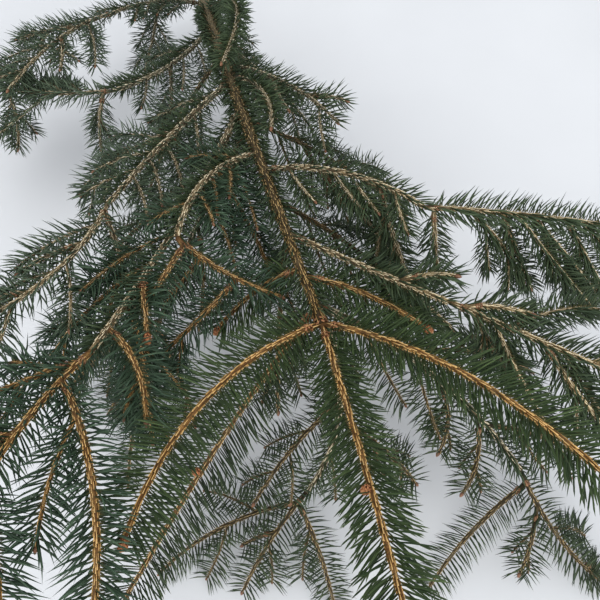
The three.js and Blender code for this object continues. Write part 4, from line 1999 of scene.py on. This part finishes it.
    def hub(self, stem: Limb, rng: np.random.Generator) -> list[Patch]:
        """The rings of scales round the end of the stem, from which the tip shoots rise.

        Args:
            stem: the main stem.
            rng: the generator of their small irregularities.

        Returns:
            A patch for each ring.
        """
        radius, size, count = self.hub_radius, self.hub_collar_size, self.hub_scales
        return [
            self.ring(stem, 1 - back / stem.course.length, radius, lean, size, count, rng)
            for back, lean in self.hub_rows
        ]

    def build(
        self, skeleton: Skeleton, rng: np.random.Generator, finish: bpy.types.Material
    ) -> list[bpy.types.Object]:
        """Builds the scaly buds of the young shoots, the plain ones of the twigs, and the collars.

        Args:
            skeleton: where the limbs are.
            rng: the generator of the irregularities.
            finish: the finish of all scales.

        Returns:
            The three pieces.
        """
        young = [skeleton.twigs[name][0] for name in skeleton.young]
        others = [limb for limbs in skeleton.twigs.values() for limb in limbs if limb not in young]
        finer = [limb for limbs in skeleton.finer.values() for limb in limbs]
        at_tips = self.clothed(*self.placed(young, *self.shoot_size))
        beside = self.clothed(*self.beside(skeleton, *self.beside_size))
        pieces = [raise_piece("shoot_buds", Patch.joined([at_tips, beside]), finish)]
        medium = self.cores(*self.placed(others, *self.twig_size), self.dullness)
        small = self.cores(*self.placed(finer, *self.finer_size), self.dullness)
        pieces.append(raise_piece("twig_buds", Patch.joined([medium, small]), finish))
        boughs = [limb for limb in skeleton.wood.values() if limb.carrier]
        scales = [
            *self.hub(skeleton.stem, rng),
            *self.collars(young, self.hub_collar_size, rng),
            *self.collars([*boughs, *others], self.worn_collar_size, rng, self.dullness),
        ]
        pieces.append(raise_piece("bud_scale_collars", Patch.joined(scales), finish))
        return pieces

    def beside(self, skeleton: Skeleton, length: float, radius: float) -> BudRows:
        """Places the buds that lean out of young shoots' sides.

        Args:
            skeleton: where the limbs are.
            length: how long the buds are.
            radius: how thick they are.

        Returns:
            Their feet, directions, lengths and radii.
        """
        feet = []
        leaning = []
        for name, place, azimuth in self.side_buds:
            limb = skeleton.twigs[name][0]
            ahead, right, up = limb.axes(place)
            radial = math.cos(math.radians(azimuth)) * up + math.sin(math.radians(azimuth)) * right
            feet.append(limb.at(place) + self.side_foot * limb.radius_at(place) * radial)
            leaning.append(unit(self.side_lean * ahead + radial))
        count = len(feet)
        return np.array(feet), np.array(leaning), np.full(count, length), np.full(count, radius)

    def placed(self, limbs: Sequence[Limb], length: float, radius: float) -> BudRows:
        """Places buds at the tips of limbs.

        Args:
            limbs: the limbs.
            length: how long the buds are.
            radius: how thick they are.

        Returns:
            Their feet, directions, lengths and radii.
        """
        ahead = np.array([limb.axes(1.0)[0] for limb in limbs])
        tips = np.array([limb.points[-1] for limb in limbs])
        count = len(limbs)
        return tips - self.tip_seat * ahead, ahead, np.full(count, length), np.full(count, radius)


@dataclass
class Studio:
    """The camera, the lights, the pale surroundings and the floor."""

    camera_place: Point = (-65.3, -525.0, 374.0)
    camera_heading: float = 17.0
    camera_pitch: float = 62.0
    lens: float = 36.0
    sensor: float = 36.0
    nearest: float = 10.0
    sky: Colour = (0.91, 0.94, 1.0)
    sky_strength: float = 0.88
    floor_side: float = 7000.0
    aim: Point = (0.0, -300.0, 80.0)
    lamps: tuple[tuple[str, Point, float, float], ...] = (
        ("overhead_softbox", (-250.0, -350.0, 1500.0), 1300.0, 10.0),
        ("side_softbox", (-4400.0, -3500.0, 3360.0), 3600.0, 112.0),
        ("front_softbox", (1050.0, -4200.0, 1400.0), 3000.0, 153.0),
    )

    def add_camera(self) -> None:
        """Puts the camera where the photograph was taken from, looking down on the bough."""
        data = bpy.data.cameras.new("camera")
        data.lens = self.lens
        data.sensor_width = self.sensor
        data.clip_start = self.nearest * MM
        camera = bpy.data.objects.new("camera", data)
        heading = math.radians(self.camera_heading)
        pitch = math.radians(self.camera_pitch)
        level = math.cos(pitch)
        ahead = Vector((math.sin(heading) * level, math.cos(heading) * level, -math.sin(pitch)))
        camera.location = Vector(self.camera_place) * MM
        camera.rotation_euler = ahead.to_track_quat("-Z", "Y").to_euler()
        bpy.context.scene.collection.objects.link(camera)
        bpy.context.scene.camera = camera

    def add_light(self) -> None:
        """Lights the scene by a pale sky and large soft lamps that face the bough's middle."""
        world = bpy.data.worlds.new("pale_sky")
        world.use_nodes = True
        ground = world.node_tree.nodes["Background"]
        ground.inputs["Color"].default_value = (*self.sky, 1.0)
        ground.inputs["Strength"].default_value = self.sky_strength
        bpy.context.scene.world = world
        bpy.context.scene.view_settings.view_transform = "Standard"
        middle = Vector(self.aim) * MM
        for name, place, side, power in self.lamps:
            data = bpy.data.lights.new(name, "AREA")
            data.shape = "SQUARE"
            data.size = side * MM
            data.energy = power
            lamp = bpy.data.objects.new(name, data)
            lamp.location = Vector(place) * MM
            lamp.rotation_euler = (middle - lamp.location).to_track_quat("-Z", "Y").to_euler()
            bpy.context.scene.collection.objects.link(lamp)

    def add_floor(self, finish: FloorFinish) -> None:
        """Lays the floor under the bough's lowest points.

        Args:
            finish: its finish.
        """
        signs = np.array([(-1, -1), (1, -1), (1, 1), (-1, 1)])
        corners = np.column_stack([0.5 * self.floor_side * signs, np.full(4, FLOOR)])
        patch = Patch(corners, np.array([[0, 1, 2, 3]]), NO_TRIANGLES)
        raise_piece("floor", patch, finish.material(), smooth=False)


NEAR = NeedleForm(
    spacing=0.3,
    length=17.0,
    root_angle=60.0,
    tip_angle=46.0,
    parting=(54.0, 132.0),
    angle_spread=7.0,
    bend=0.05,
    top_lean=0.0,
)
COMBED = replace(
    NEAR,
    spacing=0.36,
    root_angle=68.0,
    tip_angle=62.0,
    parting=(66.0, 112.0),
    angle_spread=5.0,
    bend=0.03,
)
OUTER = NeedleForm(
    spacing=0.36,
    length=15.5,
    root_angle=70.0,
    tip_angle=52.0,
    parting=(36.0, 142.0),
    rings=(0.0, 0.5),
    widths=(0.8, 1.0),
    top_lean=12.0,
)
SWEPT = replace(OUTER, spacing=0.31, length=13.8, root_angle=60.0, tip_angle=42.0, parting=(50.0, 138.0))
INNER = replace(OUTER, spacing=0.4, length=13.0, parting=(30.0, 150.0))
LOWER = replace(
    INNER,
    spacing=0.56,
    length=13.5,
    root_angle=66.0,
    tip_angle=54.0,
    width=1.0,
    sides=3,
    parting=(52.0, 122.0),
)
LOWEST = replace(
    LOWER,
    spacing=0.6,
    length=14.2,
    root_angle=76.0,
    tip_angle=62.0,
    parting=(66.0, 114.0),
    angle_spread=5.0,
)
WOOD = replace(INNER, spacing=0.44, length=11.5, parting=(26.0, 130.0), root_angle=62.0)
ON_STEM = replace(WOOD, spacing=0.27, length=11.0, parting=(42.0, 126.0), root_angle=54.0, tip_angle=38.0)

SHOOT_BARK = BarkForm(sides=10, step=2.0, roughness=0.34, slimmer=0.7, needles_each=2, peg_size=1.5)


def on_boughs(
    name: str,
    boughs: tuple[str, ...],
    tint: Tint,
    form: NeedleForm,
    bark: Bark = Bark.TWIG,
    wear: float = 0.0,
) -> Spray:
    """A spray of all the masses that some boughs carry, with the finer twigs of those boughs."""
    masses = tuple(mass for mass, size in MASSES.items() if size.carrier in boughs)
    return Spray(name, masses, tint, form, bark=bark, boughs=boughs, wear=wear)


LEFT_FRONT = ("left_front_bough", "left_bough")
LEFT_REAR = ("left_back_bough", "left_rear_bough", "left_outer_bough")
UNDER_SHOOTS = (
    "rear_under_shoot",
    "right_rear_under_shoot",
    "left_low_shoot",
    "right_under_shoot",
    "front_under_shoot",
)
STEM_SHOOTS = (
    "upper_rear_shoot",
    "right_short_shoot",
    "rear_rising_shoot",
    "right_low_shoot",
    "right_back_shoot",
)
TIP_SHOOTS = ("leader_shoot", "right_tip_shoot", "right_inner_shoot", "left_inner_shoot")
UNDER_COMBED = replace(COMBED, spacing=0.42, parting=(60.0, 116.0))

# The wear of the lower shoots and sprays greys their bark as old bark and also darkens it as painted
# shade of the lower layers.
SPRAYS: tuple[Spray, ...] = (
    Spray("tip_shoots", TIP_SHOOTS, Tint.FRESH, NEAR, SHOOT_BARK, Bark.SHOOT),
    Spray("left_tip_shoots", ("left_tip_shoot",), Tint.FRESH, COMBED, SHOOT_BARK, Bark.SHOOT),
    Spray(
        "left_under_shoots",
        ("left_under_shoot",),
        Tint.DEEP,
        UNDER_COMBED,
        SHOOT_BARK,
        Bark.SHOOT,
        wear=0.4,
    ),
    on_boughs("left_front_sprays", LEFT_FRONT, Tint.COOL, OUTER, Bark.SHOOT),
    on_boughs("left_rear_sprays", LEFT_REAR, Tint.BLUISH, INNER),
    Spray("stem_shoots", STEM_SHOOTS, Tint.DEEP, INNER),
    on_boughs("right_rear_sprays", ("right_rear_bough",), Tint.DEEP, SWEPT),
    on_boughs("right_middle_sprays", ("right_middle_bough",), Tint.DEEP, SWEPT),
    Spray("under_shoots", UNDER_SHOOTS, Tint.SHADED, LOWER, bark=Bark.STEM, wear=0.6),
    *(
        on_boughs(f"{part}_sprays", (f"{part}_bough",), Tint.SHADED, LOWEST, Bark.STEM, wear=0.65)
        for part in ("low_right", "low_middle", "low_left")
    ),
)
STEM_NEEDLES_FROM = 100.0
STEM_NEEDLES_TO = 0.985
STEM_NEEDLE_SEAT = 0.85
PIECE_SEED = 5501


def main() -> None:
    """Builds the camera, the bough piece by piece, and the surroundings."""
    logging.basicConfig(level=logging.INFO, format="%(message)s")
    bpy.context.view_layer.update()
    studio = Studio()
    studio.add_camera()
    skeleton = Skeleton()
    rng = np.random.default_rng(PIECE_SEED)
    barks = {bark: bark.value.material() for bark in Bark}
    branches = [limb for limb in skeleton.every() if limb.carrier is skeleton.stem]
    bark_piece, wood_piece = MainStem(skeleton.stem, branches).build(
        barks[Bark.STEM], CutWoodFinish("cut_wood_pale").material()
    )
    fit(bark_piece, Slot.STEM_BARK, [STEM])
    fit(wood_piece, Slot.STEM_BARK, [])
    stem_seats = ON_STEM.seats(skeleton.stem, rng, STEM_NEEDLES_FROM, STEM_NEEDLES_TO)
    stem_seats.radius = stem_seats.radius * STEM_NEEDLE_SEAT
    wood_seats = []
    # Each bough takes its spray's wear, which on the low boughs greys the bark as old and also darkens it
    # as painted shade.
    wear = {bough: spray.wear for spray in SPRAYS for bough in spray.boughs}
    for name in BOUGHS:
        piece, seats = Bough(skeleton.wood[name], wear[name]).build(rng, barks[Bark.TWIG])
        fit(piece, Slot.TWIG_BARK, [name])
        wood_seats.append(seats)
    wood_needles = [ON_STEM.needles(stem_seats, rng), WOOD.needles(Seats.joined(wood_seats), rng)]
    finish = Tint.DEEP.value.material()
    fit(raise_piece("stem_and_bough_needles", Patch.joined(wood_needles), finish), Slot.NEEDLES, [])
    for spray in SPRAYS:
        twigs, needles = spray.build(skeleton, rng, barks)
        fit(twigs, Slot.TWIG_BARK, spray.masses)
        fit(needles, Slot.NEEDLES, spray.masses)
    for piece in Buds().build(skeleton, rng, BudFinish("bud_scales_red_brown").material()):
        fit(piece, Slot.TWIG_BARK, [])
    studio.add_light()
    studio.add_floor(FloorFinish("floor_pale"))


if __name__ == "__main__":
    main()
